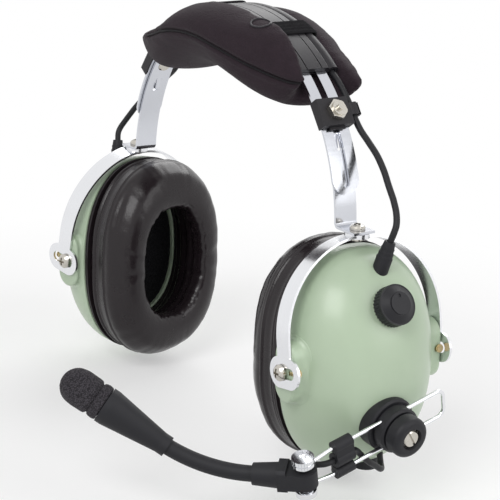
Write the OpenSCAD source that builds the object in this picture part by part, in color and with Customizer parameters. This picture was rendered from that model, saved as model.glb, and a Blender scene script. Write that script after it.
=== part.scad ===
// Aviation headset: a sprung steel headband carries two ear cups on sliding strips,
// each cup hangs in a steel stirrup, and the left cup carries a microphone boom.
// X runs across the head with the wearer's left at +X, the wearer faces -Y, Z is up.
// The origin is midway between the cups, on the line of their tilt pivots.

/* [Headband] */
// Radius of the middle of the spring strip
band_r = 93; // [88:1:98]
// Width of the spring strip
band_w = 15.6; // [14:0.2:17]
// Thickness of the spring strip
band_t = 1.2; // [0.8:0.1:1.6]
// Width of the long adjuster slot
slot_w = 3.9; // [3.5:0.1:4.5]
// Elevation at which each end of the strip stops, in degrees
band_end_a = 12.4; // [10:0.2:14]
// Elevation of the cover's two ends, in degrees
cover_end_a = 51.4; // [48.8:0.2:54]
// Thickness of the cover above the strip
cover_t = 2.5; // [2:0.1:3.5]
// Outer diameter of the cord channel moulded on the cover's rear edge
channel_d = 7.4; // [6:0.1:8]

/* [Head pad] */
// Length of the pad along the band, as the angle from the top to each tip
pad_a = 52.8; // [48:0.2:53]
// Half width of the pad from front to rear
pad_half_w = 36.2; // [34:0.2:42]
// Depth of the pad's middle from the strip to the underside
pad_depth = 24.8; // [20:0.2:28]
// Height of the pad's rolled sides above the strip
pad_crest = 3.7; // [2:0.1:6]

/* [Adjusters] */
// Width of the sliding strips
slide_w = 12.5; // [10:0.5:14]
// Thickness of the sliding strips
slide_t = 1.2; // [0.8:0.1:1.6]
// Elevation of the adjuster screw at the shown setting
clamp_a = 36.6; // [34:0.2:38]
// How far the right cup is drawn down from the left one's setting
right_out = 3.2; // [0:0.2:8]
// Distance of the swivel screw outside the sliding strip
swivel_reach = 9.2; // [8:0.2:12]
// Diameter of the swivel screw's shank
swivel_d = 4; // [3:0.5:5]

/* [Stirrups] */
// Distance from the dome's side to the middle of the stirrup's metal
arch_gap = 4.5; // [4.2:0.1:8]
// Distance from the dome's top to the middle of the stirrup's metal
crown_gap = 5.15; // [4.8:0.05:8]
// Width of the stirrup strip
strip_w = 10; // [8:0.5:12]
// Thickness of the stirrup strip
strip_t = 1.2; // [0.8:0.1:1.6]
// Inward lean of the stirrup, in degrees
lean = 10.5; // [8:0.5:13]
// Length of the stirrup's end eyes
eye_l = 24; // [21:1:27]
// Height of the stirrup's end eyes
eye_h = 15; // [13:0.5:17]
// Turn of the left cup about its swivel, in degrees
left_toe = 2.5; // [0:0.5:6]
// Turn of the right cup about its swivel, in degrees
right_toe = 10; // [4:0.5:11]
// Tilt of the left cup in its stirrup, in degrees
left_tilt = 3; // [0:0.5:4]

/* [Ear cups] */
// Half width of the dome from front to rear
dome_w = 39.8; // [37:0.2:41]
// Half height of the dome
dome_h = 54.8; // [52:0.2:55]
// Depth of the dome from its rim to its crown
dome_d = 40; // [36:0.5:44]
// Distance of the dome's rim inside the pivots
rim_in = 10; // [8:0.5:12]
// Thickness of the ear seal from its ring to the face
seal_t = 29; // [22:1:32]
// Half width of the ear seal's opening
opening_w = 21.3; // [19:0.1:24]
// Half height of the ear seal's opening
opening_h = 31.2; // [28:0.2:34]
// Radius of the bore where the main lead enters the left cup
lead_bore_r = 3; // [2:0.1:4]

/* [Volume control] */
// Diameter of the volume knob
knob_d = 19.5; // [18:0.5:24]
// Height of the volume knob's fluted side
knob_h = 7; // [5:0.5:9]

/* [Microphone boom] */
// Diameter of the boom flange on the left cup
flange_d = 27; // [25:0.5:30]
// Diameter of the turning clamp
clamp_d = 22.5; // [21:0.5:24.5]
// Diameter of the clamp's rounded knob
clamp_knob_d = 20; // [17:0.5:22]
// Diameter of the boom wire
wire_d = 2; // [1.6:0.1:2.4]
// Distance between the two boom wires
wire_gap = 14.5; // [13:0.1:15.5]
// Length of the wire loop ahead of the clamp
wire_ahead = 53; // [50:1:60]
// Length of the wire loop behind the clamp
wire_behind = 30; // [28:1:36]
// Downward slope of the wire loop towards its front, in degrees
wire_slope = 15.5; // [10:0.5:20]
// Inward turn of the arm about its pin, in degrees
arm_yaw = 47.6; // [40:0.2:55]
// Diameter of the gooseneck
neck_d = 7.6; // [6:0.2:9]
// Angle through which the gooseneck is bent, in degrees
neck_bend = 35; // [20:1:45]
// Diameter of the microphone and its foam windscreen
mic_d = 17.5; // [15:0.5:20]
// Length of the microphone boot
mic_boot_l = 31; // [26:1:36]
// Length of the foam windscreen
screen_l = 23; // [20:1:28]

/* [Cords] */
// Diameter of the cord between the cups
cord_d = 3.2; // [2.6:0.1:3.4]
// Diameter of the microphone lead
mic_lead_d = 3; // [2.4:0.1:3.2]

/* [Hidden] */
$fn = 72;
eps = 0.01;
gap = 0.3;
run = 0.05;
relief = 0.1;

// Angle in degrees that a length takes up on a circle
function arc_deg(length, radius) = length / radius * 180 / PI;

// Headband: the slides lie inside the spring strip, the blocks and cover outside it
slide_r = band_r - band_t / 2 - gap - slide_t / 2;
block_gap = 0.4;
slot_low_a = band_end_a + arc_deg(3.6, band_r);
slot_high_a = cover_end_a + 3;
cover_side = band_w / 2 + 1.5;
channel_y = cover_side + channel_d / 2 - 1;
channel_r = band_r + band_t / 2 + cover_t - channel_d / 2;
channel_bore_d = cord_d + 0.8;
cover_in_r = band_r - band_t / 2 - 1.4;
block_l = 14;
block_t = 3.6;
block_lip = 0.8;
hook_out = band_t / 2 + block_gap + 0.6;
block_half_w = band_w / 2 + block_gap + block_lip;
nut_af = 9;
nut_h = 4;
adjuster_d = 3.2;

// Foot of the slide, with the stirrup's flat tab turning under it
arch_r = dome_w + arch_gap;
arch_top = dome_h + crown_gap;
leg_h = arch_top - arch_r;
eye_inset = 2.5;
stirrup_top_z = arch_top * cos(lean) + eye_inset * sin(lean);
tab_rise = strip_t / 2 + strip_w / 2 * sin(lean) + run;
foot_z = stirrup_top_z + tab_rise + 0.1 + slide_t / 2;
foot_bend_r = 2.2;
foot_a = 4.5;
arc_z = foot_z + foot_bend_r - slide_r * sin(foot_a);
swivel_x = slide_r + swivel_reach;
tab_d = slide_w;
pivot_x = swivel_x + arch_top * sin(lean) - eye_inset * cos(lean);

// Ear cup: outlines are superellipses, in the cup's own axes with X outward
outline_n = 2.3;
profile_n = 2.1;
boss_h = 30;
boss_w = 16;
boss_face = arch_r - strip_t / 2 - 0.35;
pivot_d = 4;
bush_d = 5.4;
slot_h = bush_d + 2 * run;
slot_l = 16;
ring_t = 3.6;
ring_lip = 1;
seal_in = rim_in + ring_t + 0.2;
pocket_d = 17;
liner_in = 3.5;
mouth_w = opening_w + 5;
mouth_h = opening_h + 5;
lip_w = 1.4;
lip_t = 0.9;
coil_d = 4.2;
coil_x = eye_inset + slot_l / 2 - 3.4;
coil_l = 5.2;

// Controls and fittings on the left cup, as heights on the dome's centre line
knob_v = 31.5;
knob_u = -1;
boom_v = -23.7;
boom_u = -2.3;
mount_pitch = 10;
mount_yaw = 4.2;
lead_hole = [14, 4];
gland_u = 6;
boot_u = 2;
boot_w = 11;
boot_l = 15;
boot_in = 9;
boot_lean = 12;

// Boom stack, measured outward from the dome's surface along the boom's axis
flange_top = 3;
hub_low = flange_top + gap;
hub_high = 9.5;
wire_s = 5;
knob_low = hub_high + 1;
knob_high = 18;
wire_half = wire_gap / 2;
pin_half = 5.6;
pin_d = 3;
eye_r = pin_d / 2 + wire_d / 2 + 0.1;
taper_x = 38;
clip_x = 31;
clip_l = 10;
fitting_l = 24;
neck_r = 75;
neck_roll = 12;

// Hanging stretch of each cord, from the block's hook to the boot: share of the way, then the offset
left_sway = [
  [0.11, 0.3, 1.4, 0], [0.23, 1.7, 2.7, 1.1], [0.355, 3.4, 3.6, 2.4], [0.482, 4.4, 3.9, 3.1], [0.604, 4.7, 3.8, 3.5],
  [0.719, 5.2, 3.7, 3.9], [0.821, 5.2, 3, 4], [0.906, 4.4, 2, 3.4], [0.96, 2.5, 0.8, 2]
];
right_sway = [
  [0.101, 0.8, 1.7, 0.4], [0.222, 2.8, 3.5, 1.8], [0.353, 4.9, 5.1, 3.4], [0.483, 6.5, 5.9, 4.7], [0.614, 7.2, 5.8, 5.4],
  [0.74, 7, 4.9, 5.4], [0.852, 5.8, 3.5, 4.6], [0.93, 4.4, 1.7, 3.6], [0.966, 2.5, 0.4, 2.2]
];

// Microphone lead from the dome to the clip and on to the arm, in the boom's axes
rear_route = [
  [20.3, 7.3, -9.7], [24, 7.3, -8.9], [26.8, 6.5, -6.8], [27.2, 4.2, -3.4], [24.8, 0.1, -0.3], [21, -5, 1.3],
  [16.9, -10, 2], [12.7, -14.6, 2], [9.3, -18.5, 2], [7.3, -21.9, 3.5], [6.9, -25.1, 5], [8.2, -29.9, 5]
];
front_route = [
  [8.4, -30.6, 5], [9.7, -34.7, 5], [10.8, -39.1, 4.2], [11.8, -43.1, 1.4], [12.4, -45.6, -1.6],
  [13.4, -48, -3.3], [13.7, -49.4, -2], [14.1, -50.7, -0.8]
];

// ---- Placement -------------------------------------------------------------------------

// Local +X points outward at an elevation on the left of the headband
module at_arc(angle) {
  translate([0, 0, arc_z]) rotate([0, -angle, 0]) children();
}

// Revolves a profile drawn as [radius, -Y] along the headband between two elevations
module along_arc(low, high) {
  translate([0, 0, arc_z]) rotate([90, 0, 0]) rotate([0, 0, low])
    rotate_extrude(angle = high - low, $fn = 180) children();
}

// A strip of rectangular section along the headband
module arc_strip(radius, width, thick, low, high) {
  along_arc(low, high) translate([radius - thick / 2, -width / 2]) square([thick, width]);
}

// Moves what hangs on one adjuster down the headband
module drawn(out) {
  translate([0, 0, arc_z]) rotate([0, arc_deg(out, slide_r), 0]) translate([0, 0, -arc_z]) children();
}

module left_side() { children(); }

module right_side() { mirror([1, 0, 0]) drawn(right_out) children(); }

// Turns a stirrup and its cup about the swivel screw
module toed(angle) {
  translate([swivel_x, 0, 0]) rotate([0, 0, -angle]) translate([-swivel_x, 0, 0]) children();
}

module at_pivot(tilt) {
  translate([pivot_x, 0, 0]) rotate([0, -tilt, 0]) children();
}

module left_cup() { left_side() toed(left_toe) at_pivot(left_tilt) children(); }

module right_cup() { right_side() toed(right_toe) at_pivot(0) children(); }

// ---- Shared shapes ---------------------------------------------------------------------

// Distance to a superellipse of unit half axes in the direction of an angle
function super_r(a, n) = 1 / pow(pow(abs(cos(a)), n) + pow(abs(sin(a)), n), 1 / n);

// Points of a superellipse with half axes along the first and second axis
function super_ring(half_u, half_v, n, sides) =
  [for (i = [0 : sides - 1]) let(a = 360 * i / sides, r = super_r(a, n)) [half_u * r * cos(a), half_v * r * sin(a)]];

// A plate on the YZ plane from x0 to x1 with a superellipse outline
module super_plate(half_u, half_v, x0, x1, sides = 64) {
  translate([x0, 0, 0]) rotate([90, 0, 90])
    linear_extrude(height = x1 - x0) polygon(super_ring(half_u, half_v, outline_n, sides));
}

// Closes a grid of points into a solid: rows of equal length, each row a closed ring
module skin(rows, looped = false) {
  count = len(rows);
  sides = len(rows[0]);
  last = looped ? count - 1 : count - 2;
  walls = [for (i = [0 : last]) for (j = [0 : sides - 1])
    let(k = (j + 1) % sides, n = (i + 1) % count)
    for (f = [[i * sides + j, n * sides + j, n * sides + k], [i * sides + j, n * sides + k, i * sides + k]]) f];
  low_cap = [[for (j = [0 : sides - 1]) j]];
  high_cap = [[for (j = [sides - 1 : -1 : 0]) (count - 1) * sides + j]];
  polyhedron(points = [for (row = rows) each row], faces = looped ? walls : concat(walls, low_cap, high_cap));
}

// A racetrack plate centred on the origin: length along X, height along Z, thickness along Y
module racetrack(length, height, y0, y1) {
  for (side = [-1, 1])
    translate([side * (length - height) / 2, y1, 0]) rotate([90, 0, 0]) cylinder(d = height, h = y1 - y0);
  translate([-(length - height) / 2, y0, -height / 2]) cube([length - height, y1 - y0, height]);
}

// A pan-head screw along +Z: head from z = 0 up, shank below, with a cross recess
module pan_screw(head_d, head_h, shank_d, shank_l) {
  recess_w = head_d * 0.14;
  recess_l = head_d * 0.55;
  difference() {
    union() {
      cylinder(d = head_d, h = head_h * 0.4);
      translate([0, 0, head_h * 0.4]) cylinder(d1 = head_d, d2 = head_d * 0.8, h = head_h * 0.35);
      translate([0, 0, head_h * 0.75]) cylinder(d1 = head_d * 0.8, d2 = head_d * 0.45, h = head_h * 0.25);
      translate([0, 0, -shank_l]) cylinder(d = shank_d, h = shank_l + eps);
    }
    for (turn = [0, 90])
      rotate([0, 0, turn]) translate([-recess_l / 2, -recess_w / 2, head_h * 0.45]) cube([recess_l, recess_w, head_h]);
  }
}

function unit(v) = v / norm(v);

// Tube of constant diameter swept along a route of points
function tangent(route, i) = unit(route[min(i + 1, len(route) - 1)] - route[max(i - 1, 0)]);
function tube_ring(route, i, radius, sides, beside) =
  let(t = tangent(route, i), side = unit(cross(t, beside)), up = cross(side, t))
  [for (j = [0 : sides - 1]) let(a = 360 * j / sides) route[i] + radius * (cos(a) * side + sin(a) * up)];

module tube(route, diameter, beside = [0, 1, 0.2], sides = 8) {
  skin([for (i = [0 : len(route) - 1]) tube_ring(route, i, diameter / 2, sides, beside)]);
}

// ---- Headband --------------------------------------------------------------------------

// Spring strip with round ends and a long slot for each adjuster screw
module spring_band() {
  end_r = band_w / 2 + relief;
  round_a = band_end_a + arc_deg(end_r, band_r);
  slot_round_a = slot_low_a + arc_deg(slot_w / 2, band_r);
  color("gainsboro") difference() {
    arc_strip(band_r, band_w, band_t, band_end_a - 1, 181 - band_end_a);
    for (side = [0, 1]) mirror([side, 0, 0]) {
      at_arc(round_a) difference() {
        translate([band_r / 2, -band_w, -band_w]) cube([band_r, 2 * band_w, band_w]);
        rotate([0, 90, 0]) cylinder(r = end_r, h = band_r * 2);
      }
      arc_strip(band_r, slot_w, band_t * 3, slot_round_a, slot_high_a);
      at_arc(slot_round_a) rotate([0, 90, 0]) cylinder(d = slot_w + 2 * relief, h = band_r * 2);
    }
  }
}

// Moulded cover gripping the middle of the strip, with the cord's channel on its rear edge
module band_cover() {
  low = cover_end_a;
  high = 180 - cover_end_a;
  outer_r = band_r + band_t / 2 + cover_t;
  color("dimgray") along_arc(low, high) difference() {
    union() {
      translate([cover_in_r, -cover_side + 1]) square([outer_r - cover_in_r - 1, 2 * cover_side - 2]);
      translate([cover_in_r + 1, -cover_side]) square([outer_r - cover_in_r - 2, 2 * cover_side]);
      translate([cover_in_r + 1, -cover_side + 1.2]) square([outer_r - cover_in_r - 1, 2 * cover_side - 2.4]);
      for (y = [-cover_side + 1.2, cover_side - 1.2]) translate([outer_r - 1.2, y]) circle(r = 1.2, $fn = 32);
      for (y = [-cover_side + 1, cover_side - 1]) translate([cover_in_r + 1, y]) circle(r = 1, $fn = 32);
      translate([channel_r, -channel_y]) circle(d = channel_d, $fn = 40);
    }
    translate([band_r - band_t / 2 - 0.15, -band_w / 2 - 0.15]) square([band_t + 0.3, band_w + 0.3]);
    translate([cover_in_r - 1, -band_w / 2 + 3]) square([band_r - cover_in_r, band_w - 6]);
    translate([channel_r, -channel_y]) circle(d = channel_bore_d, $fn = 40);
    translate([outer_r - 0.5, cover_side - 5.4]) square([1, 0.5]);
    translate([outer_r - 0.5, -cover_side + 4.4]) square([1, 0.5]);
  }
}

// Head pad: an oval saddle in polar form about the headband's centre. For each line of
// constant y it runs between two seams; the top rolls up beside a groove for the band.
groove_front = -cover_side - 1.6;
groove_rear = channel_y + channel_d / 2 + 2;
groove_r = min(slide_r - slide_t / 2 - 2.4, channel_r - channel_d / 2 - 0.25);
groove_end_a = 46.6;
pad_drop = 17.9;
row_shares = [0.16, 0.34, 0.53, 0.71, 0.86, 0.95, 0.99];
front_edge = groove_front - 1.6;
rear_edge = groove_rear + 1.6;
pad_rows = concat(
  [for (i = [len(row_shares) - 1 : -1 : 0]) front_edge - (pad_half_w + front_edge) * row_shares[i]],
  [front_edge, groove_front - 0.1, groove_front + 0.4, 0, groove_rear - 0.4, groove_rear + 0.1, rear_edge],
  [for (share = row_shares) rear_edge + (pad_half_w - rear_edge) * share]
);
pad_steps = 22;

function roll(q, n) = pow(max(0, 1 - pow(min(1, abs(q)), n)), 1 / n);
function blend_up(x) = let(t = max(0, min(1, x))) t * t * (3 - 2 * t);
function in_groove(y) = y > groove_front && y < groove_rear;
function pad_reach(y) = pad_a * roll(y / pad_half_w, y < 0 ? 2 : 2.5);
function pad_end(y) = in_groove(y) ? min(pad_reach(y), groove_end_a) : pad_reach(y);
function seam_r(a) = band_r - 9 + 13.4 * pow(abs(a) / 45, 3);
function under_r(a) = (band_r - pad_depth - pad_drop * blend_up(abs(a) / 60)) / cos(a);
function crest_r(y, a) = band_r + (y < 0 ? pad_crest : 0) - 6 * pow(a / 40, 2);
function pad_edge(y, a) = roll(a / max(1, pad_end(y)), 3.4);
function pad_side(y) = y < 0 ? (groove_front - 3 - y) / (groove_front - 3 + pad_half_w)
  : (y - groove_rear - 3) / (pad_half_w - groove_rear - 3);
function pad_base(y, a) = in_groove(y) ? min(seam_r(a), groove_r - 2) : seam_r(a);
function pad_top(y, a) = in_groove(y) ? groove_r
  : seam_r(a) + (crest_r(y, a) - seam_r(a)) * roll(max(0, pad_side(y)), 2.2) * pad_edge(y, a)
    * (abs(y - (y < 0 ? groove_front : groove_rear)) < 0.5 ? 0.72 : 1);
function pad_low(y, a) = pad_base(y, a) - (pad_base(y, a) - under_r(a)) * roll(y / pad_half_w, 1.8) * pad_edge(y, a);
function pad_point(y, a, radius) = [radius * sin(a), y, arc_z + radius * cos(a)];

// One closed ring of points per line of constant y: over the top and back along the underside
function pad_ring(y) = let(end = pad_end(y)) [
  for (i = [0 : pad_steps]) let(a = -end * cos(180 * i / pad_steps))
    pad_point(y, a, i == 0 || i == pad_steps ? pad_base(y, a) : pad_top(y, a)),
  for (i = [pad_steps - 1 : -1 : 1]) let(a = -end * cos(180 * i / pad_steps)) pad_point(y, a, pad_low(y, a))
];

module head_pad() {
  color([0.23, 0.18, 0.21]) skin([for (y = pad_rows) pad_ring(y)]);
}

// Ring of the snap fastener on the pad's front roll
snap_a = 22;
snap_y = -18;
module pad_snap() {
  snap_r = pad_top(snap_y, snap_a) + 0.5;
  color("dimgray") translate([0, snap_y, arc_z]) rotate([0, snap_a, 0]) translate([0, 0, snap_r]) rotate([12, 0, 0])
    rotate_extrude($fn = 48) translate([4.4, 0]) circle(d = 1, $fn = 16);
}

// Two elastic straps that hold the pad over the cover
strap_w = 11;
strap_t = 1;
strap_places = [20.5, -17];
module pad_straps() {
  strap_r = band_r + band_t / 2 + cover_t + 0.2;
  rib_count = 6;
  front = groove_front + 0.5;
  rear = groove_rear - 0.5;
  half_a = arc_deg(strap_w / 2, strap_r);
  leg_l = strap_r - groove_r - 0.1;
  color([0.08, 0.08, 0.09]) for (place = strap_places) {
    along_arc(90 - place - half_a, 90 - place + half_a) {
      translate([strap_r, -rear]) square([strap_t, rear - front]);
      translate([strap_r - leg_l, -front - strap_t]) square([leg_l + eps, strap_t]);
      translate([strap_r - leg_l, -rear]) square([leg_l + eps, strap_t]);
    }
    for (i = [0 : rib_count - 1]) let(rib_a = 90 - place + half_a * (2 * (i + 0.5) / rib_count - 1))
      along_arc(rib_a - 0.28, rib_a + 0.28)
        translate([strap_r + strap_t - eps, -rear]) square([0.35, rear - front]);
  }
}

// The cord's stretch inside the cover's channel
module cord_top() {
  color("black") along_arc(cover_end_a + 0.1, 179.9 - cover_end_a)
    translate([channel_r, -channel_y]) circle(d = cord_d, $fn = 24);
}

// ---- Sliding strips and their adjusters ------------------------------------------------

// Strip inside the band, turned outward at its lower end as a foot over the stirrup
module slide() {
  top_a = clamp_a + arc_deg(7, slide_r);
  bend_z = foot_z + foot_bend_r;
  bend_a = asin((bend_z - arc_z) / (slide_r + foot_bend_r));
  bend_x = (slide_r + foot_bend_r) * cos(bend_a);
  bend_t = slide_t + 0.04;
  lap = 0.15;
  foot_end = swivel_x + 5.6;
  window_a = 28.2;
  color("gainsboro") difference() {
    union() {
      arc_strip(slide_r, slide_w, slide_t, bend_a - arc_deg(lap, slide_r), top_a);
      translate([bend_x, 0, bend_z]) rotate([90, 0, 0]) rotate([0, 0, 180 + bend_a])
        rotate_extrude(angle = 90 - bend_a) translate([foot_bend_r - bend_t / 2, -slide_w / 2])
          square([bend_t, slide_w]);
      translate([bend_x - lap, -slide_w / 2, foot_z - slide_t / 2])
        cube([foot_end - bend_x + lap, slide_w, slide_t]);
    }
    at_arc(clamp_a) rotate([0, 90, 0]) cylinder(d = adjuster_d + 2 * run, h = slide_r * 2);
    at_arc(window_a) translate([slide_r, 0, 0]) cube([slide_t * 3, 3, 8], center = true);
    translate([swivel_x, 0, foot_z - 3]) cylinder(d = swivel_d + 2 * run, h = 6);
  }
  color("gainsboro") difference() {
    at_arc(window_a + arc_deg(3, slide_r)) translate([slide_r, 0, 0]) rotate([0, 14, 0])
      translate([-slide_t / 2 - 0.35, -1.2, -5.6]) cube([slide_t * 0.7, 2.4, 7.4]);
    arc_strip(slide_r + slide_t / 2 + 1, slide_w, 2, foot_a, top_a);
  }
}

// Nylon block over the strip, with lips round its edges and a hook for the cord
module adjuster_block() {
  base_r = band_r + band_t / 2 + block_gap;
  lip_drop = 2;
  hook_y = channel_y;
  hook_x = band_r + hook_out;
  color([0.12, 0.12, 0.13]) difference() {
    union() {
      at_arc(clamp_a) translate([base_r, -block_half_w, -block_l / 2])
        cube([block_t, 2 * block_half_w, block_l]);
      for (side = [-1, 1]) at_arc(clamp_a)
        translate([base_r - lip_drop, side * (block_half_w - block_lip / 2) - block_lip / 2, -block_l / 2])
          cube([lip_drop + eps, block_lip, block_l]);
      at_arc(clamp_a) translate([base_r, -4.5, -block_l / 2 - 1.4]) cube([1.2, 9, 1.5]);
      at_arc(clamp_a) translate([hook_x, hook_y, 0.5]) {
        cylinder(d = cord_d + 4.4, h = 6, center = true);
        translate([-1.6, -3.6, -3]) cube([3.4, 3, 6]);
      }
    }
    at_arc(clamp_a) translate([hook_x, hook_y, 0]) cylinder(d = cord_d + 0.9, h = block_l, center = true);
    at_arc(clamp_a) translate([hook_x, hook_y - 0.6, -block_l / 2]) rotate([0, 0, 25]) cube([6, 1.8, block_l]);
    at_arc(clamp_a) rotate([0, 90, 0]) cylinder(d = adjuster_d + 2 * run, h = band_r * 2);
  }
}

// Low screw from inside the slide, through the slot and the block
module adjuster_screw() {
  head_r = slide_r - slide_t / 2 - 0.1;
  end_r = band_r + band_t / 2 + block_gap + block_t + nut_h + 1.6;
  color("silver") at_arc(clamp_a) rotate([0, 90, 0]) {
    translate([0, 0, head_r - 1.2]) cylinder(d1 = 5, d2 = 7, h = 1.2);
    translate([0, 0, head_r - eps]) cylinder(d = adjuster_d, h = end_r - head_r);
  }
}

// Hexagon nut with a locking collar
module adjuster_nut() {
  seat_r = band_r + band_t / 2 + block_gap + block_t;
  hex_d = nut_af / cos(30);
  color("silver") at_arc(clamp_a) rotate([0, 90, 0]) translate([0, 0, seat_r]) difference() {
    union() {
      intersection() {
        rotate([0, 0, 12]) cylinder(d = hex_d, h = nut_h - 1, $fn = 6);
        cylinder(d1 = hex_d + 3, d2 = nut_af - 0.4, h = nut_h);
      }
      cylinder(d = nut_af - 1.6, h = nut_h);
    }
    translate([0, 0, -1]) cylinder(d = adjuster_d, h = nut_h + 2);
  }
}

// ---- Stirrups --------------------------------------------------------------------------

// Strip bent over the cup, widened at each end into a slotted eye
module stirrup() {
  color("whitesmoke") difference() {
    union() {
      translate([pivot_x, 0, 0]) rotate([0, -lean, 0]) translate([eye_inset, 0, 0]) {
        translate([-strip_w / 2, 0, leg_h]) rotate([90, 0, 90])
          half_ring(arch_r, strip_t, strip_w);
        for (side = [-1, 1]) {
          translate([-strip_w / 2, side * arch_r - strip_t / 2, 0]) cube([strip_w, strip_t, leg_h]);
          racetrack(eye_l, eye_h, side * arch_r - strip_t / 2, side * arch_r + strip_t / 2);
        }
      }
      translate([swivel_x, 0, stirrup_top_z - strip_t / 2]) cylinder(d = tab_d, h = strip_t / 2 + tab_rise);
    }
    translate([swivel_x, 0, stirrup_top_z - 4]) cylinder(d = swivel_d + 2 * run, h = 8);
    translate([pivot_x, 0, 0]) rotate([0, -lean, 0]) translate([eye_inset, 0, 0]) for (side = [-1, 1])
      racetrack(slot_l, slot_h, side * arch_r - strip_t, side * arch_r + strip_t);
  }
}

// Half ring standing on the XY plane's +Y side, as thick in radius as the metal
module half_ring(radius, thick, width) {
  rotate_extrude(angle = 180, $fn = 144) translate([radius - thick / 2, 0]) square([thick, width]);
}

// Screw on which the stirrup turns under the slide's foot
module swivel_screw() {
  color("silver") translate([swivel_x, 0, foot_z + slide_t / 2 + 0.1]) {
    pan_screw(7.6, 2.6, swivel_d, slide_t + tab_rise + strip_t / 2 + 1.8);
    translate([0, 0, -slide_t - tab_rise - strip_t / 2 - 2]) cylinder(d = swivel_d + 1.6, h = 0.9);
  }
}

// ---- Ear cups --------------------------------------------------------------------------

// Outward depth of the dome where its outline is scaled by rho
function dome_rise(rho) = -rim_in + dome_d * pow(1 - pow(rho, profile_n), 1 / profile_n);
// Scale of the outline that passes through a point of the cup
function dome_rho(u, v) = pow(pow(abs(u) / dome_w, outline_n) + pow(abs(v) / dome_h, outline_n), 1 / outline_n);
// Angle of the dome's normal above the outward axis on the centre line
function dome_pitch(v) = let(rho = abs(v) / dome_h, depth = (dome_rise(rho) + rim_in) / dome_d)
  sign(v) * atan2(pow(rho, profile_n - 1) / dome_h, pow(depth, profile_n - 1) / dome_d);

dome_sides = 64;
dome_rings = 16;
module dome_form() {
  rows = [for (i = [0 : dome_rings - 1]) let(t = 90 * i / dome_rings, rho = pow(cos(t), 2 / profile_n),
      ring = super_ring(dome_w * rho, dome_h * rho, outline_n, dome_sides))
    [for (p = ring) [dome_rise(rho), p[0], p[1]]]];
  crown = [for (p = super_ring(dome_w * 0.06, dome_h * 0.06, outline_n, dome_sides)) [dome_rise(0.06), p[0], p[1]]];
  skin(concat(rows, [crown]));
}

// The stirrup slots' direction in the axes of a cup tilted by an angle
module slot_frame(tilt) { rotate([0, tilt - lean, 0]) children(); }

// Moulded cup: a pivot boss front and rear, and a lipped pocket for the driver and foam
module dome_shell(tilt) {
  difference() {
    union() {
      dome_form();
      super_plate(mouth_w + lip_w, mouth_h + lip_w, -rim_in - lip_t, -rim_in + 1);
      for (side = [-1, 1]) rotate([0, 90, 0])
        racetrack(boss_h, boss_w, side > 0 ? dome_w - 12 : -boss_face, side > 0 ? boss_face : 12 - dome_w);
    }
    super_plate(mouth_w, mouth_h, -rim_in - 2, pocket_d - rim_in);
    for (side = [-1, 1]) rotate([side * 90, 0, 0]) translate([0, 0, boss_face - 9]) cylinder(d = pivot_d + 2 * run, h = 12);
    slot_frame(tilt) for (side = [-1, 1])
      translate([coil_x, side * (boss_face - coil_d / 2 + gap), 0]) cube([coil_l + 1, coil_d + 0.6, coil_d + 0.6], center = true);
  }
}

module boot_place() {
  translate([boot_w, boot_u, dome_h - boot_in]) rotate([-boot_lean, boot_lean, 0]) children();
}

module boom_place() {
  translate([dome_rise(dome_rho(boom_u, boom_v)) + 1, boom_u, boom_v]) rotate([0, 0, mount_yaw])
    rotate([0, 90 + mount_pitch, 0]) children();
}

module knob_place() {
  translate([dome_rise(dome_rho(knob_u, knob_v)), knob_u, knob_v]) rotate([0, 90 - dome_pitch(knob_v), 0]) children();
}

// Left cup: seats for the boom flange and the volume control, and openings for three leads
module left_dome() {
  color([0.66, 0.75, 0.64]) left_cup() difference() {
    dome_shell(left_tilt);
    boot_place() translate([0, 0, -7]) cylinder(d = 8, h = 20);
    boom_place() translate([0, 0, -7]) cylinder(d = flange_d, h = 30);
    knob_place() translate([0, 0, -1.2]) cylinder(d = knob_d - 3, h = 12);
    translate([lead_hole[0], lead_hole[1], -dome_h - 2]) cylinder(d = mic_lead_d + 1, h = 20);
    translate([0, gland_u, -dome_h - 2]) cylinder(d = 2 * lead_bore_r + 6, h = 12);
  }
}

module right_dome() {
  color([0.66, 0.75, 0.64]) right_cup() difference() {
    dome_shell(0);
    boot_place() translate([0, 0, -7]) cylinder(d = 8, h = 20);
  }
}

// Pan-head screws with bushes that run in the stirrup's slots
module pivot_screws() {
  head_y = arch_r + strip_t / 2 + 0.2;
  color("silver") for (side = [-1, 1]) rotate([side * -90, 0, 0]) {
    translate([0, 0, head_y]) pan_screw(8, 2.8, pivot_d, head_y - boss_face + 8.5);
    translate([0, 0, boss_face]) cylinder(d = bush_d, h = head_y - boss_face + eps);
  }
}

// Small coil springs set into the bosses, seen through the outer end of each slot
module slot_springs(tilt) {
  turns = 4;
  turn_l = coil_l / turns;
  color("gold") slot_frame(tilt) for (side = [-1, 1])
    translate([coil_x - coil_l / 2, side * (boss_face - coil_d / 2 + gap), 0]) rotate([0, 90, 0]) {
      cylinder(d = coil_d - 1.2, h = coil_l);
      for (i = [0 : turns - 1]) translate([0, 0, (i + 0.2) * turn_l]) cylinder(d = coil_d, h = turn_l * 0.6);
    }
}

// Hard ring clamped between the dome's rim and the seal
module seal_ring() {
  color([0.1, 0.09, 0.1]) difference() {
    union() {
      super_plate(dome_w - 0.8, dome_h - 0.8, -rim_in - ring_t, -rim_in - 0.1);
      super_plate(dome_w + 0.4, dome_h + 0.4, -rim_in - ring_t, -rim_in - ring_t + ring_lip);
    }
    super_plate(mouth_w + lip_w + 0.2, mouth_h + lip_w + 0.2, -rim_in - ring_t - 1, -rim_in + 1);
  }
}

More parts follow.
